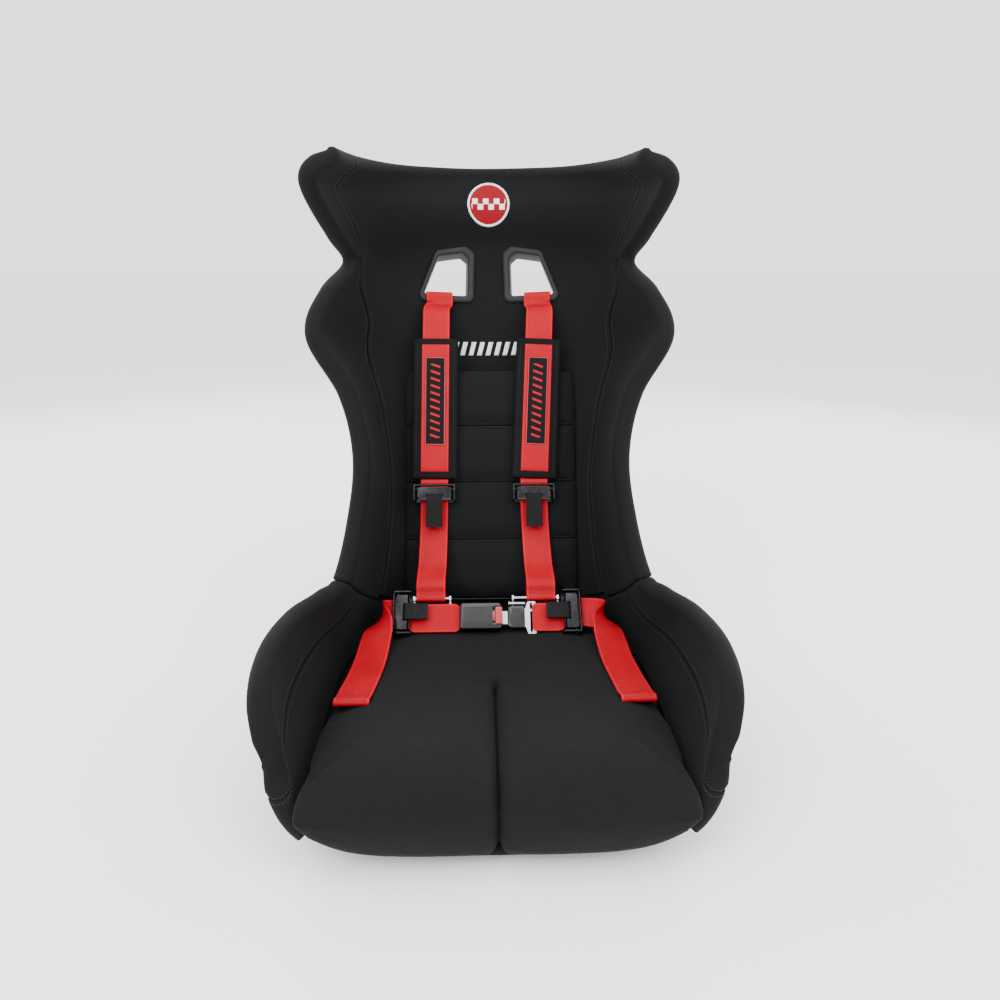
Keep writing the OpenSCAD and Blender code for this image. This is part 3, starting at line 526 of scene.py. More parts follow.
def cover(name, rows, lo, hi, side, seams, width, rolls=(), end=-1, depth=3.5, swell=ROLL):
    """One panel of the cover. rows are (t, degrees rolled over the end); lo and hi give its borders in s.
    Returns the piece with its outer grid and the directions it faces."""
    shares = spread(width, 4.2, "lo" in seams, "hi" in seams)
    ts = np.array([r[0] for r in rows])[:, None]
    turns = np.array([r[1] for r in rows])[:, None]
    low = np.array([lo(t) for t in ts[:, 0]])[:, None]
    high = np.array([hi(t) for t in ts[:, 0]])[:, None]
    s = low + (high - low) * shares[None, :]
    side_turn = np.zeros_like(s)
    if len(rolls):
        s = np.concatenate([s, np.ones((len(rows), len(rolls)))], 1)
        side_turn = np.concatenate([side_turn, np.tile(np.array(rolls, float), (len(rows), 1))], 1)
    t, turns = np.broadcast_to(ts, s.shape), np.broadcast_to(turns, s.shape)
    outer, facing = padding(t, s, swell, side_turn, turns, 1, end)
    backing, _ = padding(t, s, BACKING, side_turn, turns, 1, end)
    over = np.concatenate([np.zeros((s.shape[0], 1)),
                           np.cumsum(np.linalg.norm(np.diff(outer, axis=1), axis=2), 1)], 1)
    up = np.concatenate([np.zeros((1, s.shape[1])),
                         np.cumsum(np.linalg.norm(np.diff(outer, axis=0), axis=2), 0)], 0)
    from_seam = np.full(s.shape, 99.0)
    for key, d in (("lo", over), ("hi", over[:, -1:] - over), ("first", up), ("last", up[-1:] - up)):
        if key in seams:
            from_seam = np.minimum(from_seam, d)
    lengthwise = up if ("lo" in seams or "hi" in seams) else over
    pucker = 0.32 * np.sin(lengthwise * 2 * math.pi / 12.6) * np.exp(-np.abs(from_seam - 6) / 5)
    drift = 0.5 * np.sin(outer[..., 0] / 31 + outer[..., 2] / 47) * np.sin(outer[..., 1] / 39 - outer[...,
        2] / 29)
    outer = outer + (pucker + drift - pulled(from_seam, depth))[..., None] * facing
    if len(rolls) and np.any(turns > 0):
        # Where two rolls meet, the foam rounds the corner off
        edge_row = int(np.flatnonzero(turns[:, 0] == 0)[-1 if end > 0 else 0])
        edge_col = len(shares) - 1
        near_end = np.where(turns > 0, 1, ease(1 - np.abs(up - up[edge_row]) / CORNER))
        near_side = np.where(side_turn > 0, 1, ease(1 - np.abs(over - over[:,
            edge_col:edge_col + 1]) / CORNER))
        outer, backing = (relaxed(grid, near_end * near_side) for grid in (outer, backing))
    flip = np.array([side, 1, 1])
    uv = np.stack([over, up], -1)
    made = wall(name, outer * flip, backing * flip, cover_knit, uv)
    belongs(made, "seat")
    for key, col in (("lo", 5), ("hi", len(shares) - 6)):
        if key in seams:
            stitch_row(f"{name}_topstitch_{key}", outer[:, col] * flip, facing[:, col] * flip)
    return made, outer * flip, facing * flip


def rows_of(t0, t1, length, seam_lo=False, seam_hi=False, front=False, top=False):
    rows = [(t0 + (t1 - t0) * f, 0) for f in spread(length, 4.4, seam_lo, seam_hi)]
    if front:
        rows = [(0, a) for a in SIDE_ROLL[::-1]] + rows
    return rows + ([(TOP, a) for a in SIDE_ROLL] if top else [])


HEAD_TIP = 0.86        # share of the half width at which the head's wing tips are joined on
back_panel, back_grid, back_facing = cover(
    "back_cover_panel", rows_of(HIP + 0.12, NECK, 560), lambda t: -seam_line(t) + 0.004,
    lambda t: seam_line(t) - 0.004, 1, ("lo", "hi"), 380)
head_panel, head_grid, head_facing = cover(
    "head_cover_panel", rows_of(NECK, TOP, 190, top=True), lambda t: -HEAD_TIP, lambda t: HEAD_TIP,
    1, ("lo", "hi"), 560, end=1, depth=0.6)
tree_back = BVHTree.FromObject(back_panel, bpy.context.evaluated_depsgraph_get())
tree_head = BVHTree.FromObject(head_panel, bpy.context.evaluated_depsgraph_get())
cut_slots(back_panel, 5)
cut_slots(head_panel, 5)
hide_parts("back_cover")
for side, word in ((-1, "left"), (1, "right")):
    tip, _, _ = cover(f"head_tip_panel_{word}", rows_of(NECK, TOP, 190, top=True), lambda t: HEAD_TIP,
                      lambda t: 1, side, ("lo",), 70, SIDE_ROLL, end=1, depth=0.6)
    shoulder, _, _ = cover(f"shoulder_cover_panel_{word}", rows_of(HIP + 0.01, NECK - 0.01, 560, True),
                           lambda t: seam_line(t) + 0.004, lambda t: 1, side, ("lo", "first"), 110,
                           SIDE_ROLL)
    hip, _, _ = cover(f"hip_cover_panel_{word}", rows_of(0, HIP - 0.01, 520, False, True, front=True),
                      lambda t: 0.88, lambda t: 1, side, ("lo", "last"), 46, SIDE_ROLL)
    hip_side, _, _ = cover(f"hip_inner_panel_{word}", rows_of(0, HIP - 0.01, 520, False, True, front=True),
                           lambda t: 0.626, lambda t: 0.872, side, ("hi", "last"), 150)
    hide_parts(f"shoulder_cover_{word}")
    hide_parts(f"hip_cover_{word}")
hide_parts("head_cover")
pan, _, _ = cover("pan_cover_panel", rows_of(0, HIP + 0.1, 520, front=True), lambda t: -0.608,
                  lambda t: 0.608,
                  1, ("lo", "hi"), 330, swell=7.4)
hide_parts("pan_cover")

# ---------- Edge trim ----------
# Soft extruded rubber bead pushed over the edge of the fabric, all round the back of the rim.
rubber = worn("extruded rubber", 0.62, "#131313", "#222323", (60, 5), (1500,), None, 0.0001, 0.4,
              Specular_IOR_Level=0.25)
side_t = np.linspace(0.6, TOP - 0.6, 150)
end_s = np.linspace(-0.873, 0.873, 70)
ring = np.array([(t, 0.936) for t in side_t] + [(TOP - 0.44, s) for s in end_s[::-1]]
                + [(t, -0.936) for t in side_t[::-1]] + [(0.308, s) for s in end_s])
mid = face(ring[:, 0], ring[:, 1], np.full(len(ring), -WALL - 3.6))
for _ in range(3):
    mid = (np.roll(mid, 1, 0) + 2 * mid + np.roll(mid, -1, 0)) / 4
run = unit(np.roll(mid, -1, 0) - np.roll(mid, 1, 0))
sideways = unit(np.cross(run, normal(ring[:, 0], ring[:, 1])))
upward = np.cross(sideways, run)
turn = np.radians(np.arange(0, 360, 30))
tube = mid[:, None] + 2.7 * (np.cos(turn)[None, :, None] * sideways[:, None] + np.sin(turn)[None, :,
    None] * upward[:, None])
trim = solid("rim_trim", tube.reshape(-1, 3), quads(len(ring), 12, around=True, round_rows=True), rubber,
             None, 80)
belongs(trim, "seat", "edge_trim")

# ---------- Slot bezels ----------
# Injection-moulded grey nylon rings: a fat rounded flange that lies on the fabric, and a sleeve
# through the shell to a flat ring at the back. Fine spark-eroded grain, dull.
nylon = worn("grained nylon", 0.6, "#1b1c1a", "#262724", (30, 6), (1100, 3), None, 0.00015, 0.45,
             Specular_IOR_Level=0.2)

for side, word in ((-1, "left"), (1, "right")):
    place = slot_place(side)
    ahead = (place.to_3x3() @ Vector((0, 0, 1))).normalized()
    ring = slot_outline(8)
    heights = []
    for p in slot_points(side, ring, 60):
        hits = [tree.ray_cast(Vector(p) * MM, -ahead, 0.2) for tree in (tree_back, tree_head)]
        dist = [h[3] / MM for h in hits if h[0] is not None]
        heights.append(60 - min(dist) if dist else SLOT_FABRIC)
    heights = np.array(heights)
    for _ in range(10):
        heights = (np.roll(heights, 1) + heights + np.roll(heights, -1)) / 3
    # Pairs of growth and height over the fabric, round the flange and down the sleeve
    profile = [(0, 1.5), (0.6, 3.4), (2.2, 5.0), (4.8, 6.0), (8, 6.1), (11, 5.2), (13, 3.4), (13.8, 1.0),
               (13.4, -1.5), (3.2, -2)]
    rings = [slot_points(side, slot_outline(g), heights + h) for g, h in profile]
    rings += [slot_points(side, slot_outline(3.2), -8), slot_points(side, slot_outline(0), -8)]
    grid = np.array(rings)
    bezel = solid(f"bezel_{word}", grid.reshape(-1, 3), quads(len(rings), len(ring), around=True,
        round_rows=True), nylon, None, 50)
    belongs(bezel, "seat", f"slot_bezel_{word}")
    profile = [(0.5, -10.5), (0.5, -13.2), (1.3, -14), (10.8, -14), (12, -13), (12, -10.5)]
    grid = np.array([slot_points(side, slot_outline(g), h) for g, h in profile])
    rear = solid(f"rear_ring_{word}", grid.reshape(-1, 3), quads(len(profile), len(ring), around=True,
        round_rows=True), nylon, None, 50)
    belongs(rear, "seat", f"slot_rear_ring_{word}")

# ---------- Back cushion ----------
# One foam pad in a knitted cover, sewn down along three channels into four crowned blocks. The cloth
# swells between the channels, which a short pressure simulation gives it.
BACK = Matrix.Translation((0, 150, 75)) @ Matrix.Rotation(math.radians(-24), 4, "X")
LAP = Matrix.Translation((0, 62, 119)) @ Matrix.Rotation(math.radians(-45), 4, "X")


def placed(points, place):
    """Points in millimetres, moved by a matrix."""
    points = np.asarray(points, float)
    flat = np.column_stack([points.reshape(-1, 3), np.ones(points.size // 3)])
    return (flat @ np.array(place).T)[:, :3].reshape(points.shape)


def inflate(piece, held, cap):
    """Swells a closed cover by air pressure; held vertices stay, and none moves further than cap."""
    count = len(piece.data.vertices)
    before = np.empty(count * 3)
    piece.data.vertices.foreach_get("co", before)
    group = piece.vertex_groups.new(name="held")
    group.add([int(i) for i in np.flatnonzero(held)], 1.0, "REPLACE")
    cloth = piece.modifiers.new("cloth", "CLOTH")
    cloth.settings.vertex_group_mass = "held"
    cloth.settings.use_pressure = True
    cloth.settings.uniform_pressure_force = 4
    cloth.settings.effector_weights.gravity = 0
    cloth.settings.quality = 5
    cloth.point_cache.frame_start = 1
    cloth.point_cache.frame_end = 20
    for number in range(1, 21):
        bpy.context.scene.frame_set(number)
    bpy.context.view_layer.objects.active = piece
    bpy.ops.object.modifier_apply(modifier=cloth.name)
    after = np.empty(count * 3)
    piece.data.vertices.foreach_get("co", after)
    move = (after - before).reshape(-1, 3)
    size = np.maximum(np.linalg.norm(move, axis=1, keepdims=True), 1e-9)
    move *= np.minimum(1, cap * MM / size)
    piece.data.vertices.foreach_set("co", (before.reshape(-1, 3) + move).ravel())
    piece.data.update()
    piece.vertex_groups.clear()


PAD_LOW, PAD_HIGH, PAD_HALF, BLOCK = 36, 451, 155, 415 / 4
cushion_h = np.unique(np.concatenate([
    np.linspace(PAD_LOW, PAD_HIGH, 120),
    *[PAD_LOW + BLOCK * k + np.array([-5, -3, -1.6, -0.6, 0, 0.6, 1.6, 3, 5]) for k in (1, 2, 3)],
    PAD_LOW + np.array([0.6, 1.6, 3, 5]), PAD_HIGH - np.array([0.6, 1.6, 3, 5])]))
cushion_u = np.sin(np.linspace(-math.pi / 2, math.pi / 2, 75) * 0.93) / math.sin(math.pi / 2 * 0.93)
h, u = np.meshgrid(cushion_h, cushion_u, indexing="ij")
to_channel = np.abs((h - PAD_LOW + BLOCK / 2) % BLOCK - BLOCK / 2)
to_end = np.minimum(h - PAD_LOW, PAD_HIGH - h)


def dome(d, reach):
    """A quarter round from 0 at the edge to 1 at a distance of reach."""
    return np.sqrt(np.clip(1 - np.clip(1 - d / reach, 0, 1) ** 2, 0, 1))


half = PAD_HALF - 8 * np.clip(np.abs(2 * (h - PAD_LOW) / (PAD_HIGH - PAD_LOW) - 1), 0, 1) ** 12
crown = (0.35 + 0.65 * dome(to_channel, 13)) * dome((1 - np.abs(u)) * PAD_HALF, 20) * dome(to_end, 15)
lines = 0.35 * np.sin(u * PAD_HALF / 7.3) * np.exp(-to_channel / 7) * (1 - np.abs(u) ** 8)
front = 9.2 + 11.5 * crown + lines
rear = -13.2 + 22 * np.abs(u) ** 3
front_points = np.stack([u * half, -front, h], -1)
rear_points = np.stack([u * half, -np.minimum(rear, front - 0.5), h], -1)
loop = np.concatenate([front_points, rear_points[:, ::-1]], 1)
rows, cols = loop.shape[:2]
faces = quads(rows, cols, around=True)
faces += [(c, c + 1, cols - 2 - c, cols - 1 - c) for c in range(cols // 2 - 1)]
faces += [tuple((rows - 1) * cols + i for i in (cols - 1 - c, cols - 2 - c, c + 1,
                                                c)) for c in range(cols // 2 - 1)]
back_cushion = solid("back_cushion_pad", placed(loop.reshape(-1, 3), BACK), faces, cover_knit,
                     np.stack([loop[..., 0], loop[..., 2]], -1).reshape(-1, 2))
held = np.concatenate([(to_channel < 1) | (to_end < 1) | (np.abs(u) > 0.995), np.ones_like(u, bool)], 1)
inflate(back_cushion, held.ravel(), 3)
smooth(back_cushion, 50)
belongs(back_cushion, "seat", "back_cushion")
forward = np.array((BACK.to_3x3() @ Vector((0, -1, 0))))
for k in (1, 2, 3):
    for name, off in (("low", -2.6), ("high", 2.6)):
        xs = np.linspace(-146, 146, 60)
        at = PAD_LOW + BLOCK * k + off
        depth = 9.2 + 11.5 * (0.35 + 0.65 * float(dome(2.6, 13))) + 1.1
        line = placed(np.column_stack([xs, np.full(60, -depth), np.full(60, at)]), BACK)
        stitch_row(f"channel_stitch_{k}_{name}", line, np.tile(forward, (60, 1)))

# ---------- Seat cushion ----------
# A thick foam cushion that is slit from the front into two thigh lobes. The cover dives into the
# slit and rolls over a deep nose.
profile = np.array([
    [-322, 37], [-270, 29], [-200, 23], [40, 22], [100, 26], [122, 45], [126, 70], [118, 87], [80, 91],
    [0, 98], [-90, 106], [-180, 112], [-260, 117], [-310, 118], [-338, 113], [-357, 98], [-365, 78],
    [-366, 52], [-362, 32], [-352, 21], [-339, 26]], float)
closed = []
for i in range(len(profile)):
    a, b, d, e = (profile[(i + j) % len(profile)] for j in (-1, 0, 1, 2))
    steps = max(2, int(np.linalg.norm(d - b) / 5))
    closed += [catmull(a, b, d, e, v) for v in np.arange(steps) / steps]
closed = np.array(closed)
across_mm = np.array([0, 1.2, 2.4, 3.8, 5.5, 7.5, 10, 13, 17, 22] + list(np.linspace(28, 222, 40)) + [225,
    228, 230.5, 232, 233])
shares = np.concatenate([-across_mm[:0:-1], across_mm]) / 233
u, py = np.meshgrid(shares, closed[:, 0], indexing="ij")
_, pz = np.meshgrid(shares, closed[:, 1], indexing="ij")
halfway = 233 - np.maximum(0, (py + 210) * 0.17) - np.maximum(0,
    (-270 - py) * 0.16) + 18 * ease((-285 - py) / 80)
side_round = np.sqrt(np.clip(1 - np.abs(u) ** 9, 0, 1))
shrink = 0.22 + 0.78 * side_round
lift = 0.8 * np.abs(u) ** 6 + 0.06 * u * u
high = pz >= 78
x = u * halfway
slit = ease((-104 - py) / 16)
groove = slit * (20 * np.exp(-(np.abs(x) / 4.2) ** 1.5) + 4 * np.exp(-np.abs(x) / 16))
z = np.where(high, 78 + (pz - 78) * shrink - groove * np.clip((pz - 78) / 22, 0, 1), pz + (78 - pz) * lift)
z += np.where(high, 1.6 * np.sin(np.pi * np.clip(np.abs(u), 0, 1)) * ease((-60 - py) / 60), 0)
z += np.where(high, 0.5 * np.sin(x / 23 + py / 41) * np.sin(py / 27), 0)
nose = ease((-296 - py) / 30)
y = py + np.where(py < -300, 10 * (1 - side_round),
                  0) + nose * (17 * np.exp(-(np.abs(x) / 5.2) ** 1.4) + 4 * np.exp(-np.abs(x) / 20))
points = np.stack([x, y, z], -1)
rows, cols = points.shape[:2]
faces = quads(rows, cols, around=True) + [tuple(range(cols))[::-1],
                                          tuple((rows - 1) * cols + i for i in range(cols))]
length = np.concatenate([[0], np.cumsum(np.linalg.norm(np.diff(closed, axis=0), axis=1))])
seat_cushion = solid("seat_cushion_pad", points.reshape(-1, 3), faces, cover_knit,
                     np.stack([x, np.broadcast_to(length, x.shape)], -1).reshape(-1, 2))
held = (pz < 45) | (np.abs(u) > 0.97) | ((np.abs(x) < 4) & (py < -96)) | (py > 100)
inflate(seat_cushion, held.ravel(), 4)
smooth(seat_cushion, 60)
belongs(seat_cushion, "seat", "seat_cushion")

# ---------- Badge and stitched bars ----------
# A round woven patch sewn to the head restraint: red satin ground, white merrowed rim and a plain
# chequered band. Below it a row of slanted bars is satin-stitched in white thread.
patch, shader = finish_of("embroidered patch", 0.6, Specular_IOR_Level=0.15)
where = coordinates(patch, "UV")
split = add(patch, "ShaderNodeSeparateXYZ", None, {0: where})
radius = add(patch, "ShaderNodeVectorMath", {"operation": "LENGTH"}, {0: where})
rim = maths(patch, "GREATER_THAN", radius.outputs["Value"], 0.0352)
band = maths(patch, "ABSOLUTE", split.outputs[1])
band = maths(patch, "LESS_THAN", band, 0.0100)
inside = maths(patch, "LESS_THAN", radius.outputs["Value"], 0.0315)
squares = add(patch, "ShaderNodeTexChecker", None, {"Vector": where, "Scale": 100, "Color1": (1, 1, 1, 1),
                                                    "Color2": (0, 0, 0, 1)})
flag = maths(patch, "MULTIPLY", band, squares.outputs[1])
flag = maths(patch, "MULTIPLY", flag, inside)
white = maths(patch, "MAXIMUM", rim, flag)
threads = waves(patch, where, "X", 0.0008, 2)
red_thread = mixed(patch, threads, tone("#64000a"), tone("#960014"))
white_thread = mixed(patch, threads, tone("#cfcfcf"), tone("#f4f4f4"))
feed(patch, shader, mixed(patch, white, red_thread, white_thread), None, threads, 0.0003, 0.5)


def on_fabric(tree, points, away):
    """Where rays against away meet the fabric, in millimetres; away is a unit vector."""
    made = []
    for p in points:
        hit = tree.ray_cast(Vector(p) * MM + Vector(away) * 0.06, -Vector(away), 0.2)
        made.append(np.array(hit[0]) / MM if hit[0] is not None else np.array(p))
    return np.array(made)


RIGHT = np.array([1, 0, 0])
badge_box = [np.array(c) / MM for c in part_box("badge")]
badge_mid = (badge_box[0] + badge_box[1]) / 2
badge_lean = math.asin(min(1, (badge_box[1][2] - badge_box[0][2]) / 78.2))
lean = math.pi / 2 - badge_lean
badge_up = np.array([0, math.sin(lean), math.cos(lean)])
badge_away = np.array([0, -math.cos(lean), math.sin(lean)])
spokes = np.radians(np.arange(0, 360, 4))
radii = [1, 6, 12, 18, 24, 30, 34, 35.2, 35.8, 37.4, 38.6, 39]
raised = [1.1, 1.1, 1.1, 1.1, 1.1, 1.1, 1.1, 1.1, 1.8, 2.1, 1.6, 0.2]
flat_points = np.array([[r * math.cos(a), r * math.sin(a)] for r in radii for a in spokes])
badge_points = [badge_mid + RIGHT * p[0] + badge_up * p[1] for p in flat_points]
cloth_points = on_fabric(tree_head, badge_points, badge_away)
count = len(spokes)
top = cloth_points + np.repeat(raised, count)[:, None] * badge_away
points = np.concatenate([top, cloth_points - 0.6 * badge_away])
faces = quads(len(radii), count, around=True) + [tuple(range(count))[::-1]]
faces += [f[::-1] for f in quads(len(radii), count, len(top),
                                 around=True)] + [tuple(range(len(top), len(top) + count))]
last = (len(radii) - 1) * count
faces += [(last + (i + 1) % count, last + i, len(top) + last + i,
           len(top) + last + (i + 1) % count) for i in range(count)]
badge = solid("round_patch", points, faces, patch, np.concatenate([flat_points, flat_points]), 60)
belongs(badge, "seat", "badge")

satin, shader = finish_of("satin-stitched thread", 0.4, Sheen_Weight=0.3)
where = coordinates(satin, "UV")
threads = waves(satin, where, "Y", 0.0007, 1.2)
feed(satin, shader, mixed(satin, threads, tone("#bdbdbd"), tone("#f5f5f5")), None, threads, 0.0003, 0.6)
away = np.array([0, -math.cos(math.radians(24)), math.sin(math.radians(24))])
upwards = np.array([0, math.sin(math.radians(24)), math.cos(math.radians(24))])
points, faces, uv = [], [], []
for i in range(-4, 5):
    a, b = np.meshgrid(np.linspace(-1, 1, 9), np.linspace(-1, 1, 15))
    xs = i * 16 + a * 4.3 + b * 3.2
    zs = b * 12.5
    middle = np.array([0, 363, 529])
    base = on_fabric(tree_back, [middle + RIGHT * p + upwards * q for p, q in zip(xs.ravel(), zs.ravel())], away)
    crown = 1.5 * np.sqrt(np.clip(1 - np.abs(a) ** 3, 0,
                                  1)).ravel() * np.clip(1.6 * (1 - np.abs(b.ravel()) ** 8), 0, 1)
    first = len(points)
    points += list(base + (crown + 0.15)[:, None] * away) + list(base - 0.5 * away)
    uv += [(p, q) for p, q in zip(xs.ravel(), zs.ravel())] * 2
    n = a.size
    faces += quads(15, 9, first) + [f[::-1] for f in quads(15, 9, first + n)]
    edge = [c for c in range(9)] + [r * 9 + 8 for r in range(1, 15)] + [14 * 9 + c for c in range(7, -1,
        -1)] + [r * 9 for r in range(13, 0, -1)]
    for k, p in enumerate(edge):
        q = edge[(k + 1) % len(edge)]
        faces.append((first + q, first + p, first + n + p, first + n + q))
bars = solid("satin_bars", points, faces, satin, uv, 60)
belongs(bars, "seat", "stitched_bars")

# ---------- Webbing ----------
# Two-inch polyester harness webbing, 49 mm wide and 2 mm thick: fine lengthwise ribs over a
# herringbone ground, firm selvage edges with a painted highlight where they catch the light, bright red with a
# silky sheen.
def webbing_finish(name, dark, light, edge, sheen):
    made, shader = finish_of(name, 0.55, Sheen_Weight=sheen, Sheen_Roughness=0.35, Sheen_Tint=tone(edge),
                             Specular_IOR_Level=0.12)
    where = coordinates(made, "UV")
    split = add(made, "ShaderNodeSeparateXYZ", None, {0: where})
    off = maths(made, "ABSOLUTE", split.outputs[0])
    ribs = waves(made, where, "X", 0.0022)
    picks = waves(made, where, "DIAGONAL", 0.0016, 1)
    weave = maths(made, "ADD", ribs, picks)
    weave = maths(made, "MULTIPLY", weave, 0.5)
    # Mask of the selvage edges, where a highlight is painted in a lighter colour
    selvage_highlight = ranged(made, off, 0.0, 1.0, 0.0205, 0.0222)
    wear = clouds(made, 24, 4)
    colour = mixed(made, weave, tone(dark), tone(light))
    # Painted highlight: the selvage edges are mixed towards the lighter edge colour
    colour = mixed(made, maths(made, "MULTIPLY", selvage_highlight, 0.55), colour, tone(edge))
    colour = mixed(made, ranged(made, wear, 0, 0.3, 0.4, 0.7), colour, tone(dark))
    feed(made, shader, colour, None, weave, 0.0004, 0.6)
    return made


# The third colour of each webbing is its painted selvage highlight, and it also tints the sheen
red_webbing = webbing_finish("red polyester webbing", "#7c0012", "#bc0018", "#c40420", 0.02)
black_webbing = webbing_finish("black nylon webbing", "#060607", "#0f0f10", "#1a1a1c", 0.05)
WEB, THICK = 49, 2


def curve(rows, step):
    """A Catmull-Rom curve through rows of numbers, with points about a step apart."""
    rows = np.asarray(rows, float)
    made = []
    for i in range(len(rows) - 1):
        a, b, d, e = rows[max(i - 1, 0)], rows[i], rows[i + 1], rows[min(i + 2, len(rows) - 1)]
        n = max(2, int(np.linalg.norm((d - b)[:3]) / step))
        made += [catmull(a, b, d, e, v) for v in np.arange(n) / n]
    return np.array(made + [rows[-1]])


def strap(name, stations, body, material, width=WEB, thick=THICK, step=3.5, ends=0.0):
    """Webbing through stations of a point and the direction across it; on names what it lies on or
    hangs from. ends chamfers its corners."""
    path = curve([list(p) + list(unit(np.asarray(s, float))) for p, s in stations], step)
    mid = path[:, :3]
    run = unit(np.gradient(mid, axis=0))
    over = path[:, 3:]
    over = unit(over - (over * run).sum(1)[:, None] * run)
    up = np.cross(over, run)
    length = np.concatenate([[0], np.cumsum(np.linalg.norm(np.diff(mid, axis=0), axis=1))])
    us = np.array([-1, -0.97, -0.9, -0.84, -0.5, -0.17, 0.17, 0.5, 0.84, 0.9, 0.97, 1])
    high = np.array([0.25, 0.9, 1.15, 0.95, 1, 1, 1, 1, 0.95, 1.15, 0.9, 0.25])
    across_u = np.concatenate([us, us[::-1]])
    lift = np.concatenate([high, -high[::-1]])
    trimmed = 1 - ends / width * 2 * np.clip(1 - np.minimum(length, length[-1] - length) / max(ends, 1e-6),
                                             0, 1) if ends else np.ones(len(mid))
    points = (mid[:, None] + (across_u[None, :, None] * trimmed[:, None, None] * width / 2) * over[:, None]
              + (lift[None, :, None] * thick / 2) * up[:, None])
    rows, cols = points.shape[:2]
    faces = quads(rows, cols, around=True)
    for first, back in ((0, True), ((rows - 1) * cols, False)):
        for c in range(cols // 2 - 1):
            f = (first + c, first + c + 1, first + cols - 2 - c, first + cols - 1 - c)
            faces.append(f if back else f[::-1])
    uv = np.stack(np.broadcast_arrays(across_u[None, :] * width / 2, length[:, None]), -1)
    made = solid(name, points.reshape(-1, 3), faces, material, uv.reshape(-1, 2), 50)
    belongs(made, body)
    return made, (mid, over, up, length)


def at_back(x, height, off):
    return placed([[x, -off, height]], BACK)[0]


def at_lap(x, up, off):
    return placed([[x, -off, up]], LAP)[0]


STRAP_X = [(-97, -101, -104), (94, 76, 82)]      # at the slot, at the adjuster, at the lap
SLOT_H, ADJ_H, OFF = 590, 222, 32
SIDES = (("left", -1), ("right", 1))
LAP_ADJ = (-152, 133)
BAR_UP = 34


def strap_x(k, height):
    slot_x, adj_x, lap_x = STRAP_X[k]
    if height > ADJ_H:
        return adj_x + (slot_x - adj_x) * (height - ADJ_H) / (SLOT_H - ADJ_H)
    return lap_x + (adj_x - lap_x) * max(0, (height - 60) / (ADJ_H - 60))


thread_red = worn("red bonded thread", 0.5, "#5c000a", "#960012", (900,))


def sewn_box(name, spine, start, stop, body, side=1, inset=5):
    """A box and cross of stitches on one side of a strap, from start to stop along it."""
    mid, over, up, length = spine
    half = WEB / 2 - inset
    corners = [(-half, start), (half, start), (half, stop), (-half, stop), (-half, start), (half, stop),
               (half, start), (-half, stop)]
    line, ups = [], []
    for (u0, v0), (u1, v1) in zip(corners, corners[1:]):
        for f in np.linspace(0, 1, 12):
            u, v = u0 + (u1 - u0) * f, v0 + (v1 - v0) * f
            m, o, n = (np.array([np.interp(v, length, a[:, i]) for i in range(3)]) for a in (mid, over, up))
            line.append(m + o * u + n * side * (THICK / 2 + 0.15))
            ups.append(n * side)
    return stitch_row(name, line, ups, body, 3.6, 2.6, 0.45, thread_red)


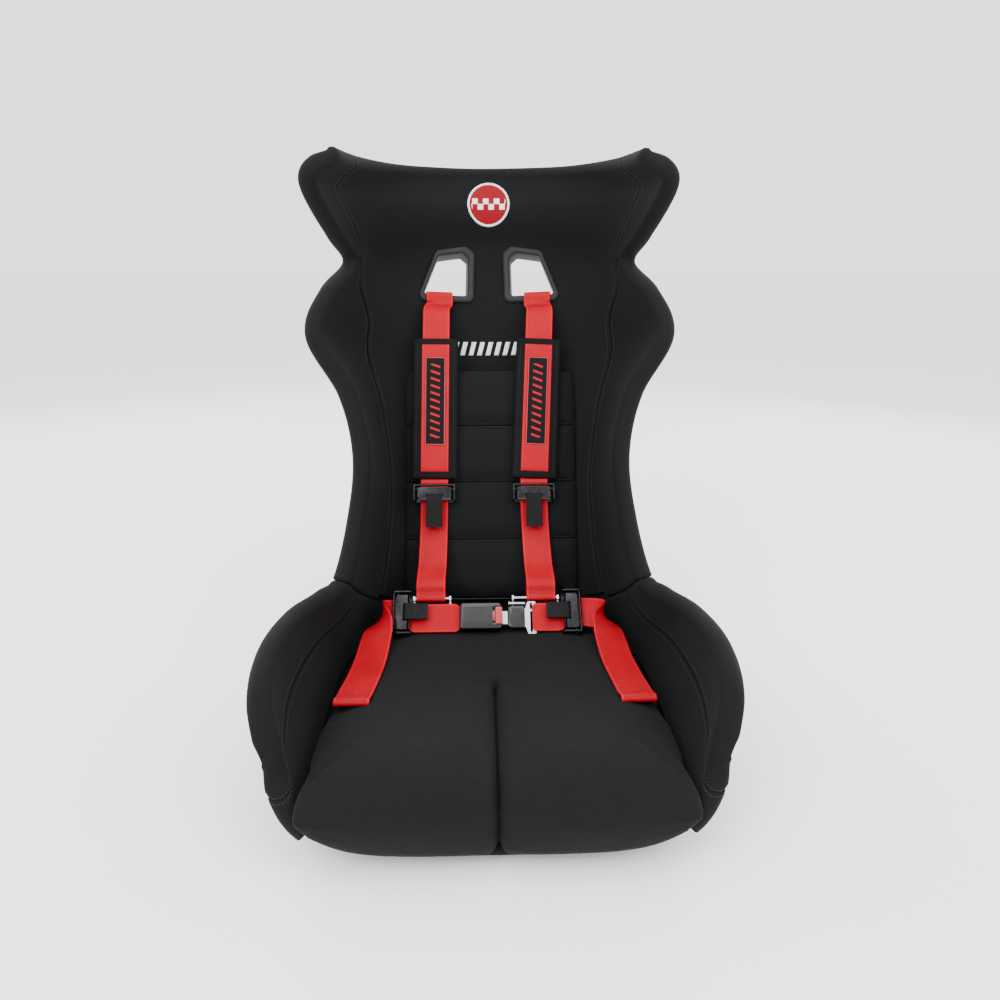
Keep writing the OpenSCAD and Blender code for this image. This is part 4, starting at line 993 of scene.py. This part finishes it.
for k, (word, side) in enumerate(SIDES):
    x = STRAP_X[k][0]
    place = slot_place(side)
    across_slot = np.array(place.to_3x3() @ Vector((1, 0, 0)))
    sill = 35
    level = [(0.0, 1.0, 0.0)]

    def in_slot(up, off):
        return (placed([[x - side * SLOT_MID[0], up, off]], place)[0], across_slot)

    def on_back(height, off):
        return (at_back(strap_x(k, height), height, off), (1, 0, 0))

    shoulder, spine = strap(f"shoulder_webbing_{word}", [
        ((x, 441, 322), (1, 0, 0)), ((x, 440, 316), (1, 0, 0)), ((x, 444.5, 313), (1, 0, 0)),
        ((x, 448.5, 318), (1, 0, 0)),
        ((x, 450, 400), (1, 0, 0)), ((x, 452, 500), (1, 0, 0)), ((x, 452, 565), (1, 0, 0)),
        in_slot(-sill - 14, -29), in_slot(-sill - 1, -20), in_slot(-sill + 1, -8), in_slot(-sill + 1, 16),
        in_slot(-sill - 1, SLOT_FABRIC + 7.5), in_slot(-sill - 8, SLOT_FABRIC + 9.4),
        in_slot(-sill - 22, SLOT_FABRIC + 8.5),
        on_back(566, 23), on_back(540, 31), on_back(470, OFF), on_back(400, OFF + 0.4), on_back(300, OFF),
        on_back(ADJ_H + 16, OFF - 0.5),
        on_back(ADJ_H + 3, OFF - 1.5)], "seat", red_webbing)
    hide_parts(f"shoulder_strap_{word}")
    sewn_box(f"shoulder_end_stitch_{word}", spine, 12, 40, "seat", 1)
    # The tail is doubled back through the adjuster: two soft rolls of webbing over its top bar
    for n, (height, r) in enumerate(((ADJ_H + 18.5, 4.6), (ADJ_H + 9.5, 4.2))):
        centre = [strap_x(k, height), -OFF - 3.4, height]
        turns = np.radians(np.linspace(200, -110, 12))
        loop = [(placed([[centre[0], centre[1] - r * math.sin(a) * 0.72, centre[2] + r * math.cos(a)]],
                        BACK)[0], (1, 0, 0)) for a in turns]
        roll, _ = strap(f"webbing_roll_{word}_{n + 1}", loop, "seat", red_webbing,
                        width=WEB - 1, thick=1.8, step=2)
    lower, spine = strap(f"lower_webbing_{word}", [
        on_back(ADJ_H - 8, OFF - 0.5), on_back(ADJ_H - 22, OFF - 1), on_back(165, 30), on_back(130, 38),
        on_back(95, 54),
        (at_lap(STRAP_X[k][2], BAR_UP + 26, 10), (1, 0, 0)), (at_lap(STRAP_X[k][2], BAR_UP + 9, 4.6),
            (1, 0, 0)),
        (at_lap(STRAP_X[k][2], BAR_UP, 3.9), (1, 0, 0)), (at_lap(STRAP_X[k][2], BAR_UP - 2.8, 2.8),
                                                          (1, 0, 0)),
        (at_lap(STRAP_X[k][2], BAR_UP - 3.9, 0), (1, 0, 0)), (at_lap(STRAP_X[k][2], BAR_UP - 2.8, -2.8),
            (1, 0, 0)),
        (at_lap(STRAP_X[k][2], BAR_UP, -3.9), (1, 0, 0)), (at_lap(STRAP_X[k][2], BAR_UP + 10, -2),
                                                           (1, 0, 0)),
        (at_lap(STRAP_X[k][2], BAR_UP + 26, 4), (1, 0, 0)), (at_lap(STRAP_X[k][2], BAR_UP + 40, 0.6),
            (1, 0, 0))], "seat", red_webbing)
    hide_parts(f"lower_strap_{word}")
    total = spine[3][-1]
    sewn_box(f"lower_end_stitch_{word}", spine, total - 72, total - 60, "seat",
             -1 if spine[2][20][1] > 0 else 1)

    lap_body = "seat" if k == 0 else "tongue_side"
    start = LAP_ADJ[k] + side * 6
    lap_up = tuple(np.array(LAP.to_3x3() @ Vector((0, 0, 1))))
    belt, spine = strap(f"lap_webbing_{word}", [
        (at_lap(start, 8, -0.5), lap_up), (at_lap(LAP_ADJ[k] + side * 20, 8, 0), lap_up),
        ((side * 182, 52, 127), (-0.35 * side, 0.6, 0.62)), ((side * 185, 28, 121),
            (-0.7 * side, 0.4, 0.4)),
        ((side * 187, 0, 113), (-1 * side, 0.1, 0.08)), ((side * 188, -50, 108.5), (-1 * side, 0, 0)),
        ((side * 190, -100, 111.5), (-1 * side, 0, 0)), ((side * 193.5, -150, 115.8), (-1 * side, 0, 0)),
        ((side * 195, -166, 117.8), (-1 * side, 0, 0)), ((side * 195.6, -174, 120), (-1 * side, 0, 0)),
        ((side * 196, -180, 117.5), (-1 * side, 0, 0)), ((side * 196, -179.4, 112.6), (-1 * side, 0, 0)),
        ((side * 195.6, -172, 110.6), (-1 * side, 0, 0)), ((side * 194.6, -150, 111.4), (-1 * side, 0, 0)),
        ((side * 193, -112, 109), (-1 * side, 0, 0))], lap_body, red_webbing)
    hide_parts(f"lap_belt_{word}")
    total = spine[3][-1]
    sewn_box(f"lap_end_stitch_{word}", spine, total - 104, total - 76, lap_body,
             -1 if spine[2][40][2] < 0 else 1)
    inner_x, outer_x = (-55.3, LAP_ADJ[0] + 14) if k == 0 else (66, LAP_ADJ[1] - 14)
    link, _ = strap(f"link_webbing_{word}", [
        (at_lap(inner_x + (outer_x - inner_x) * f, 0, 0), lap_up) for f in (0, 0.25, 0.5, 0.75, 1)],
        lap_body, red_webbing,
        ends=5)
    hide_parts(f"lap_link_{word}")

# ---------- Shoulder pads ----------
# Sleeves of closed-cell foam in black nylon, slid over the straps. A red band is sewn down the
# front of each, and a woven label with a plain barred pattern is sewn on the band.
sleeve_cloth, shader = finish_of("coated nylon", 0.8, Specular_IOR_Level=0.12)
where = coordinates(sleeve_cloth, "UV")
plain = add(sleeve_cloth, "ShaderNodeTexBrick", None, {"Vector": where, "Scale": 420, "Mortar Size": 0.03})
shade = clouds(sleeve_cloth, 20, 5)
feed(sleeve_cloth, shader, mixed(sleeve_cloth, shade, tone("#060607"), tone("#101112")), None,
     plain.outputs[1], 0.0002, 0.4)
label_cloth, shader = finish_of("woven label", 0.7, Specular_IOR_Level=0.12)
where = coordinates(label_cloth, "UV")
split = add(label_cloth, "ShaderNodeSeparateXYZ", None, {0: where})
off_x = maths(label_cloth, "ABSOLUTE", split.outputs[0])
off_y = maths(label_cloth, "ABSOLUTE", split.outputs[1])
inset_x = maths(label_cloth, "SUBTRACT", 0.0185, off_x)
inset_y = maths(label_cloth, "SUBTRACT", 0.081, off_y)
inset = maths(label_cloth, "MINIMUM", inset_x, inset_y)
edge_line = maths(label_cloth, "COMPARE", inset, 0.0014, 0.0007)
slant = maths(label_cloth, "MULTIPLY_ADD", split.outputs[0], 0.35, split.outputs[1])
bars_at = maths(label_cloth, "PINGPONG", slant, 0.0065)
bar_on = maths(label_cloth, "LESS_THAN", bars_at, 0.0021)
bar_in = maths(label_cloth, "LESS_THAN", off_x, 0.0085)
bar_end = maths(label_cloth, "LESS_THAN", off_y, 0.068)
bar_on = maths(label_cloth, "MULTIPLY", bar_on, bar_in)
bar_on = maths(label_cloth, "MULTIPLY", bar_on, bar_end)
weft = waves(label_cloth, where, "Y", 0.0009)
ground = mixed(label_cloth, weft, tone("#060607"), tone("#0e0e10"))
ground = mixed(label_cloth, bar_on, ground, tone("#a01020"))
feed(label_cloth, shader, mixed(label_cloth, edge_line, ground, tone("#b03a44")), None, weft, 0.0002, 0.5)

PAD_H, PAD_LEN, PAD_W = 247, 258, 81
for k, (word, side) in enumerate(SIDES):
    tilt = math.atan((STRAP_X[k][0] - STRAP_X[k][1]) / (SLOT_H - ADJ_H))
    place = BACK @ Matrix.Translation((strap_x(k, PAD_H), -OFF, PAD_H)) @ Matrix.Rotation(tilt, 4, "Y")
    body = f"pad_{word}"
    hs = np.concatenate([[0, 0.8, 2, 4, 7], np.linspace(11, PAD_LEN - 11, 60),
                         PAD_LEN - np.array([7, 4, 2, 0.8, 0])])
    turns = np.radians(np.linspace(0, 360, 72, endpoint=False))
    ends = dome(np.minimum(hs, PAD_LEN - hs), 6)
    points = []
    for height, e in zip(hs, ends):
        wide = PAD_W / 2 - 3 * (1 - e)
        deep = 6.9 * (0.45 + 0.55 * e)
        c, s = np.cos(turns), np.sin(turns)
        px = wide * np.sign(c) * np.abs(c) ** 0.36
        pd = deep * np.sign(s) * np.abs(s) ** 0.55
        pd = pd - 0.9 * np.exp(-((np.abs(px) - 33) / 2.2) ** 2) * np.sign(s)
        pd += 0.35 * np.sin(height / 13 + px / 17) * np.sign(s)
        points.append(np.column_stack([px, -pd, np.full(72, height)]))
    grid = np.array(points)
    faces = quads(len(hs), 72, around=True) + [tuple(range(72))[::-1],
                                               tuple((len(hs) - 1) * 72 + i for i in range(72))]
    sleeve = solid(f"pad_sleeve_{word}", placed(grid, place).reshape(-1, 3), faces, sleeve_cloth,
                   grid[..., [0, 2]].reshape(-1, 2), 60)
    belongs(sleeve, body, f"shoulder_pad_{word}")
    away = np.array(place.to_3x3() @ Vector((0, -1, 0)))
    rightward = np.array(place.to_3x3() @ Vector((1, 0, 0)))
    for n, px in enumerate((-33, 33)):
        line = placed(np.array([[px, -5.9, v] for v in np.linspace(8, PAD_LEN - 8, 60)]), place)
        stitch_row(f"pad_edge_stitch_{word}_{n + 1}", line, np.tile(away, (60, 1)), body)
    band, _ = strap(f"pad_webbing_{word}", [
        (placed([[0, -8.1 + 0.9 * (v in (0, 1)), 13 + (PAD_LEN - 26) * v]], place)[0], rightward)
        for v in (0, 0.03, 0.25, 0.5, 0.75, 0.97, 1)], body, red_webbing, thick=1.8)
    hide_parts(f"pad_band_{word}")
    for n, (px, lo, hi) in enumerate(((-22, 16, PAD_LEN - 16), (22, 16, PAD_LEN - 16))):
        line = placed(np.array([[px, -9.2, v] for v in np.linspace(lo, hi, 60)]), place)
        stitch_row(f"band_stitch_{word}_{n + 1}", line, np.tile(away, (60, 1)), body, material=thread_red)
    us, vs = np.linspace(-18.5, 18.5, 20), np.linspace(-81, 81, 60)
    gx, gz = np.meshgrid(us, vs)
    rise = 0.9 * dome(np.minimum(18.5 - np.abs(gx), 81 - np.abs(gz)), 2.2)
    front_grid = np.stack([gx, -9.3 - rise, gz + 141], -1)
    rear_grid = np.stack([gx, np.full_like(gx, -9.0), gz + 141], -1)
    label = wall(f"pad_patch_{word}", placed(front_grid, place), placed(rear_grid, place), label_cloth,
                 np.stack([gx, gz], -1))
    belongs(label, body, f"pad_label_{word}")

# ---------- Adjusters ----------
# Three-bar adjusters in pressed steel with a black-nickel plate: two cheeks on cross bars, and a
# knurled cam on a riveted pin that a stamped lever turns. A folded nylon tab hangs from its slot.
nickel = worn("black nickel plate", 0.24, "#1a1b1d", "#343537", (160, 6), (1400,), (0.16, 0.38), 0.00005,
              0.3,
              metallic=1.0)
zinc = worn("bright zinc plate", 0.3, "#9a9ca0", "#c9cbce", (220, 4), (220, 4), (0.2, 0.42), 0.00008, 0.2,
            metallic=1.0)
FRAME_H, ADJ_W, CAM_Y, CAM_Z = 34, 74, -2, 6


def bar(radius, length, place, turn=(0, 90, 0), sides=32, bevel=0.4):
    """A round bar in millimetres with softened ends, along X unless turned."""
    bpy.ops.object.select_all(action="DESELECT")
    bpy.ops.mesh.primitive_cylinder_add(vertices=sides, radius=radius, depth=length, location=place,
                                        rotation=[math.radians(a) for a in turn])
    bpy.ops.object.transform_apply(location=True, rotation=True, scale=True)
    made = bpy.context.object
    if bevel:
        modified(made, "BEVEL", width=bevel, segments=2, limit_method="ANGLE")
    return made


def plate(outline, thick, bevel, turn=None, move=(0, 0, 0), segments=3):
    """A flat plate from an outline in its own plane, thickened and softened at its edges."""
    mesh = bpy.data.meshes.new("plate")
    mesh.from_pydata([(p[0], p[1], -thick / 2) for p in outline], [], [tuple(range(len(outline)))])
    made = bpy.data.objects.new("plate", mesh)
    bpy.context.scene.collection.objects.link(made)
    choose(made)
    bpy.ops.object.mode_set(mode="EDIT")
    bpy.ops.mesh.select_all(action="SELECT")
    bpy.ops.mesh.extrude_region_move(TRANSFORM_OT_translate={"value": (0, 0, thick)})
    bpy.ops.mesh.select_all(action="SELECT")
    bpy.ops.mesh.normals_make_consistent(inside=False)
    bpy.ops.object.mode_set(mode="OBJECT")
    if bevel:
        modified(made, "BEVEL", width=bevel, segments=segments, limit_method="ANGLE",
                 angle_limit=math.radians(50))
    made.data.transform(Matrix.Translation(move) @ (turn or Matrix.Identity(4)))
    return made


def corners(wide, tall, radius, steps=6, x=0, y=0):
    """Outline of a rectangle with round corners."""
    out = []
    for cx, cy, first in ((1, 1, 0), (-1, 1, 90), (-1, -1, 180), (1, -1, 270)):
        for k in range(steps + 1):
            a = math.radians(first + 90 * k / steps)
            out.append((x + cx * (wide / 2 - radius) + radius * math.cos(a),
                        y + cy * (tall / 2 - radius) + radius * math.sin(a)))
    return out


def cut(piece, cutter):
    modified(piece, "BOOLEAN", operation="DIFFERENCE", solver="EXACT", object=cutter)
    bpy.data.objects.remove(cutter)
    return piece


def joined(parts, name, material, angle=35):
    """Joins parts into one piece."""
    for part in parts:
        part.data.materials.clear()
        part.data.materials.append(material)
    choose(*parts)
    bpy.ops.object.join()
    parts[0].name = name
    smooth(parts[0], angle)
    return parts[0]


def settled(piece, place, name, node, body):
    """A copy of a part drawn in millimetres, set in its place; it stands for a node of the frame."""
    made = bpy.data.objects.new(name, piece.data.copy())
    bpy.context.scene.collection.objects.link(made)
    made.data.transform(Matrix.Scale(MM, 4) @ place)
    belongs(made, body, node)
    return made


FACE_YZ = Matrix(((0, 0, 1, 0), (1, 0, 0, 0), (0, 1, 0, 0), (0, 0, 0, 1)))    # plate lies across X
FACE_XZ = Matrix(((1, 0, 0, 0), (0, 0, -1, 0), (0, 1, 0, 0), (0, 0, 0, 1)))   # plate lies across Y
parts = []
for s in (-1, 1):
    cheek_outline = corners(16, FRAME_H, 5, x=-1)
    cheek = plate(cheek_outline, 3, 0.7, FACE_YZ, (s * (ADJ_W - 3) / 2, 0, 0))
    cut(cheek, bar(2.3, 12, (s * (ADJ_W - 3) / 2, CAM_Y, CAM_Z), bevel=0))
    parts += [cheek, bar(3.4, 1.2, (s * (ADJ_W / 2 + 0.5), CAM_Y, CAM_Z), bevel=0.5)]
for z in (-FRAME_H / 2 + 2.6, FRAME_H / 2 - 2.6):
    parts.append(plate(corners(ADJ_W - 5, 5.2, 1.2), 2.4, 0.7, FACE_XZ, (0, 5.8, z)))
parts.append(bar(2.1, ADJ_W - 5, (0, -5.2, FRAME_H / 2 - 3.6), bevel=0))
adjuster = joined(parts, "adjuster_master", nickel)
drum = bar(4.0, 57, (0, CAM_Y, CAM_Z), sides=36, bevel=0)
for v in drum.data.vertices:
    a = math.atan2(v.co.z - CAM_Z, v.co.y - CAM_Y)
    if round(math.degrees(a) / 10) % 2:
        v.co.y, v.co.z = CAM_Y + (v.co.y - CAM_Y) * 0.84, CAM_Z + (v.co.z - CAM_Z) * 0.84
lever = plate(corners(60, 21, 3.2), 2.2, 0.6, FACE_XZ, (0, CAM_Y - 5.0, CAM_Z - 7))
cut(lever, plate(corners(31, 4.6, 2), 9, 0, FACE_XZ, (0, CAM_Y - 5, CAM_Z - 11)))
lip = plate(corners(60, 4.4, 1.4), 1.8, 0.5, FACE_XZ @ Matrix.Rotation(math.radians(-28), 4, "X"),
            (0, CAM_Y - 6.2, CAM_Z - 18.2))
ears = [plate(corners(7, 9, 2), 2.2, 0.5, FACE_YZ, (s * 28.6, CAM_Y - 3, CAM_Z - 1)) for s in (-1, 1)]
cam = joined([drum, bar(2.0, ADJ_W - 0.6, (0, CAM_Y, CAM_Z), bevel=0), lever, lip] + ears, "cam_master",
             nickel)


def adjuster_set(word, place, kind, body, cam_body, tab):
    """Sets an adjuster, its cam and its pull tab."""
    settled(adjuster, place, f"{kind}_adjuster_frame_{word}", f"{kind}_adjuster_{word}", body)
    settled(cam, place, f"{kind}_adjuster_lever_{word}", f"{kind}_cam_{word}", cam_body)
    across_tab = np.array(place.to_3x3() @ Vector((1, 0, 0)))
    top_y, top_z = CAM_Y - 5, CAM_Z - 11
    route = [(top_y + 2.6, top_z - 6), (top_y + 2.2, top_z - 1), (top_y, top_z + 1.9),
             (top_y - 3.0, top_z - 1.5),
             (top_y - 3.6, top_z - 9), (top_y - 3.4, top_z - tab * 0.5), (top_y - 2.6, top_z - tab)]
    made, spine = strap(f"{kind}_pull_tab_{word}", [(placed([[0, y, z]], place)[0], across_tab) for y,
                                                    z in route], cam_body,
                        black_webbing, width=28, thick=2.2,
                        step=2)
    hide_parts(f"{kind}_tab_{word}")
    under, _ = strap(f"{kind}_pull_tab_ply_{word}", [(placed([[0, y, z]], place)[0], across_tab) for y,
                                                     z in (
        (top_y - 0.9, top_z - 8), (top_y - 1.0, top_z - tab * 0.5), (top_y - 0.3, top_z - tab + 1))],
        cam_body,
        black_webbing, width=27.6, thick=2, step=3)
    mid, over, up, length = spine
    total, line, ups = length[-1], [], []
    sign = 1 if up[-1] @ np.array(place.to_3x3() @ Vector((0, -1, 0))) > 0 else -1
    box = [(-10, total - 4), (10, total - 4), (10, total - 20), (-10, total - 20), (-10, total - 4),
           (10, total - 20)]
    for (u0, v0), (u1, v1) in zip(box, box[1:]):
        for f in np.linspace(0, 1, 10):
            u, v = u0 + (u1 - u0) * f, v0 + (v1 - v0) * f
            m, o, n = (np.array([np.interp(v, length, a[:, i]) for i in range(3)]) for a in (mid, over, up))
            line.append(m + o * u + n * sign * 1.3)
            ups.append(n * sign)
    stitch_row(f"{kind}_tab_stitch_{word}", line, ups, cam_body, 3.2, 2.3, 0.4)


for k, (word, side) in enumerate(SIDES):
    adjuster_set(word, BACK @ Matrix.Translation((strap_x(k, ADJ_H), -OFF - 3, ADJ_H)), "shoulder", "seat",
                 f"shoulder_cam_{word}", 57)
    quarter = Matrix.Rotation(math.radians(-90 if k == 0 else 90), 4, "Y")
    adjuster_set(word, LAP @ Matrix.Translation((LAP_ADJ[k], -3, 8)) @ quarter, "lap",
                 "seat" if k == 0 else "tongue_side",
                 f"lap_cam_{word}", 39)
for master in (adjuster, cam):
    bpy.data.objects.remove(master)

# ---------- Buckle ----------
# A moulded ABS housing with a pressed steel channel inside. The red button fills its tongue end;
# the steel tongue runs in under a moulded cover. High-gloss black with softened edges.
abs_black = worn("polished black ABS", 0.16, "#060607", "#0d0d0e", (90, 6), (90, 6), (0.1, 0.3), 0.00006,
                 0.15,
                 Specular_IOR_Level=0.35, Coat_Weight=0.15, Coat_Roughness=0.08)
abs_red = worn("red ABS", 0.3, "#8c0010", "#b80416", (120, 5), (120, 5), (0.22, 0.4), 0.00006, 0.2,
               Coat_Weight=0.3, Coat_Roughness=0.15)
BUCKLE = LAP @ Matrix.Translation((-20, 0, 0))
housing = plate(corners(70, 46, 6, 8), 24, 3.2, FACE_XZ, segments=5)
cut(housing, plate(corners(70, 36, 2), 16, 0, FACE_XZ, (5.5, 0, 0)))
cut(housing, plate(corners(22, 32, 3), 12, 0, FACE_XZ, (30.5, -9, 0)))
for z in (-13, 13):
    cut(housing, plate(corners(38, 1.6, 0.7), 2, 0, FACE_XZ, (-10, -12.4, z)))
housing = joined([housing], "housing_master", abs_black, 40)
settled(housing, BUCKLE, "buckle_housing", "buckle_cover", "seat")
button = plate(corners(12, 30, 2.5), 8.2, 1.2, FACE_XZ, (30, -8.5, 0))
for x in (27.5, 30, 32.5):
    cut(button, plate(corners(1, 22, 0.45), 1.4, 0, FACE_XZ, (x, -12.7, 0)))
leg = plate(corners(34, 16, 2), 2.7, 0.5, FACE_XZ, (8, -5.85, 0))
button = joined([button, leg], "button_master", abs_red)
settled(button, BUCKLE, "red_button", "release_button", "button")
keeper = plate([(44.5, -16), (50, -20), (73.5, -20), (73.5, 20), (50, 20), (44.5, 16)], 11, 2.4, FACE_XZ,
               segments=4)
cut(keeper, plate(corners(60, 32.6, 1), 3.1, 0, FACE_XZ, (65, 2.65, 0)))
for x in (54, 58, 62, 66):
    cut(keeper, plate(corners(1.6, 26, 0.7), 1.6, 0, FACE_XZ, (x, -5.6, 0)))
keeper = joined([keeper], "keeper_master", abs_black, 40)
settled(keeper, BUCKLE, "tongue_grip", "tongue_cover", "tongue_side")
for master in (housing, button, keeper):
    bpy.data.objects.remove(master)
# Round steel rod over the tongue, from the strap bar to the grip, with a domed rivet at its end
rod = joined([bar(2.6, 26, (61, -7.4, 21.5)), bar(4.2, 2.4, (47.4, -7.4, 21.5), bevel=0.9)], "rod_master",
             zinc)
rod_set = bpy.data.objects.new("link_rod", rod.data.copy())
bpy.context.scene.collection.objects.link(rod_set)
rod_set.data.transform(Matrix.Scale(MM, 4) @ BUCKLE)
belongs(rod_set, "tongue_side")
bpy.data.objects.remove(rod)

# Bare metal parts keep the frame's own exact shapes, in the plating they really have
for name in ("strap_bar_left", "strap_bar_right", "tongue", "latch", "buckle_frame", "button_spring",
             "mount_inserts_left", "mount_inserts_right"):
    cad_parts[name].data.materials.clear()
    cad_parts[name].data.materials.append(zinc)
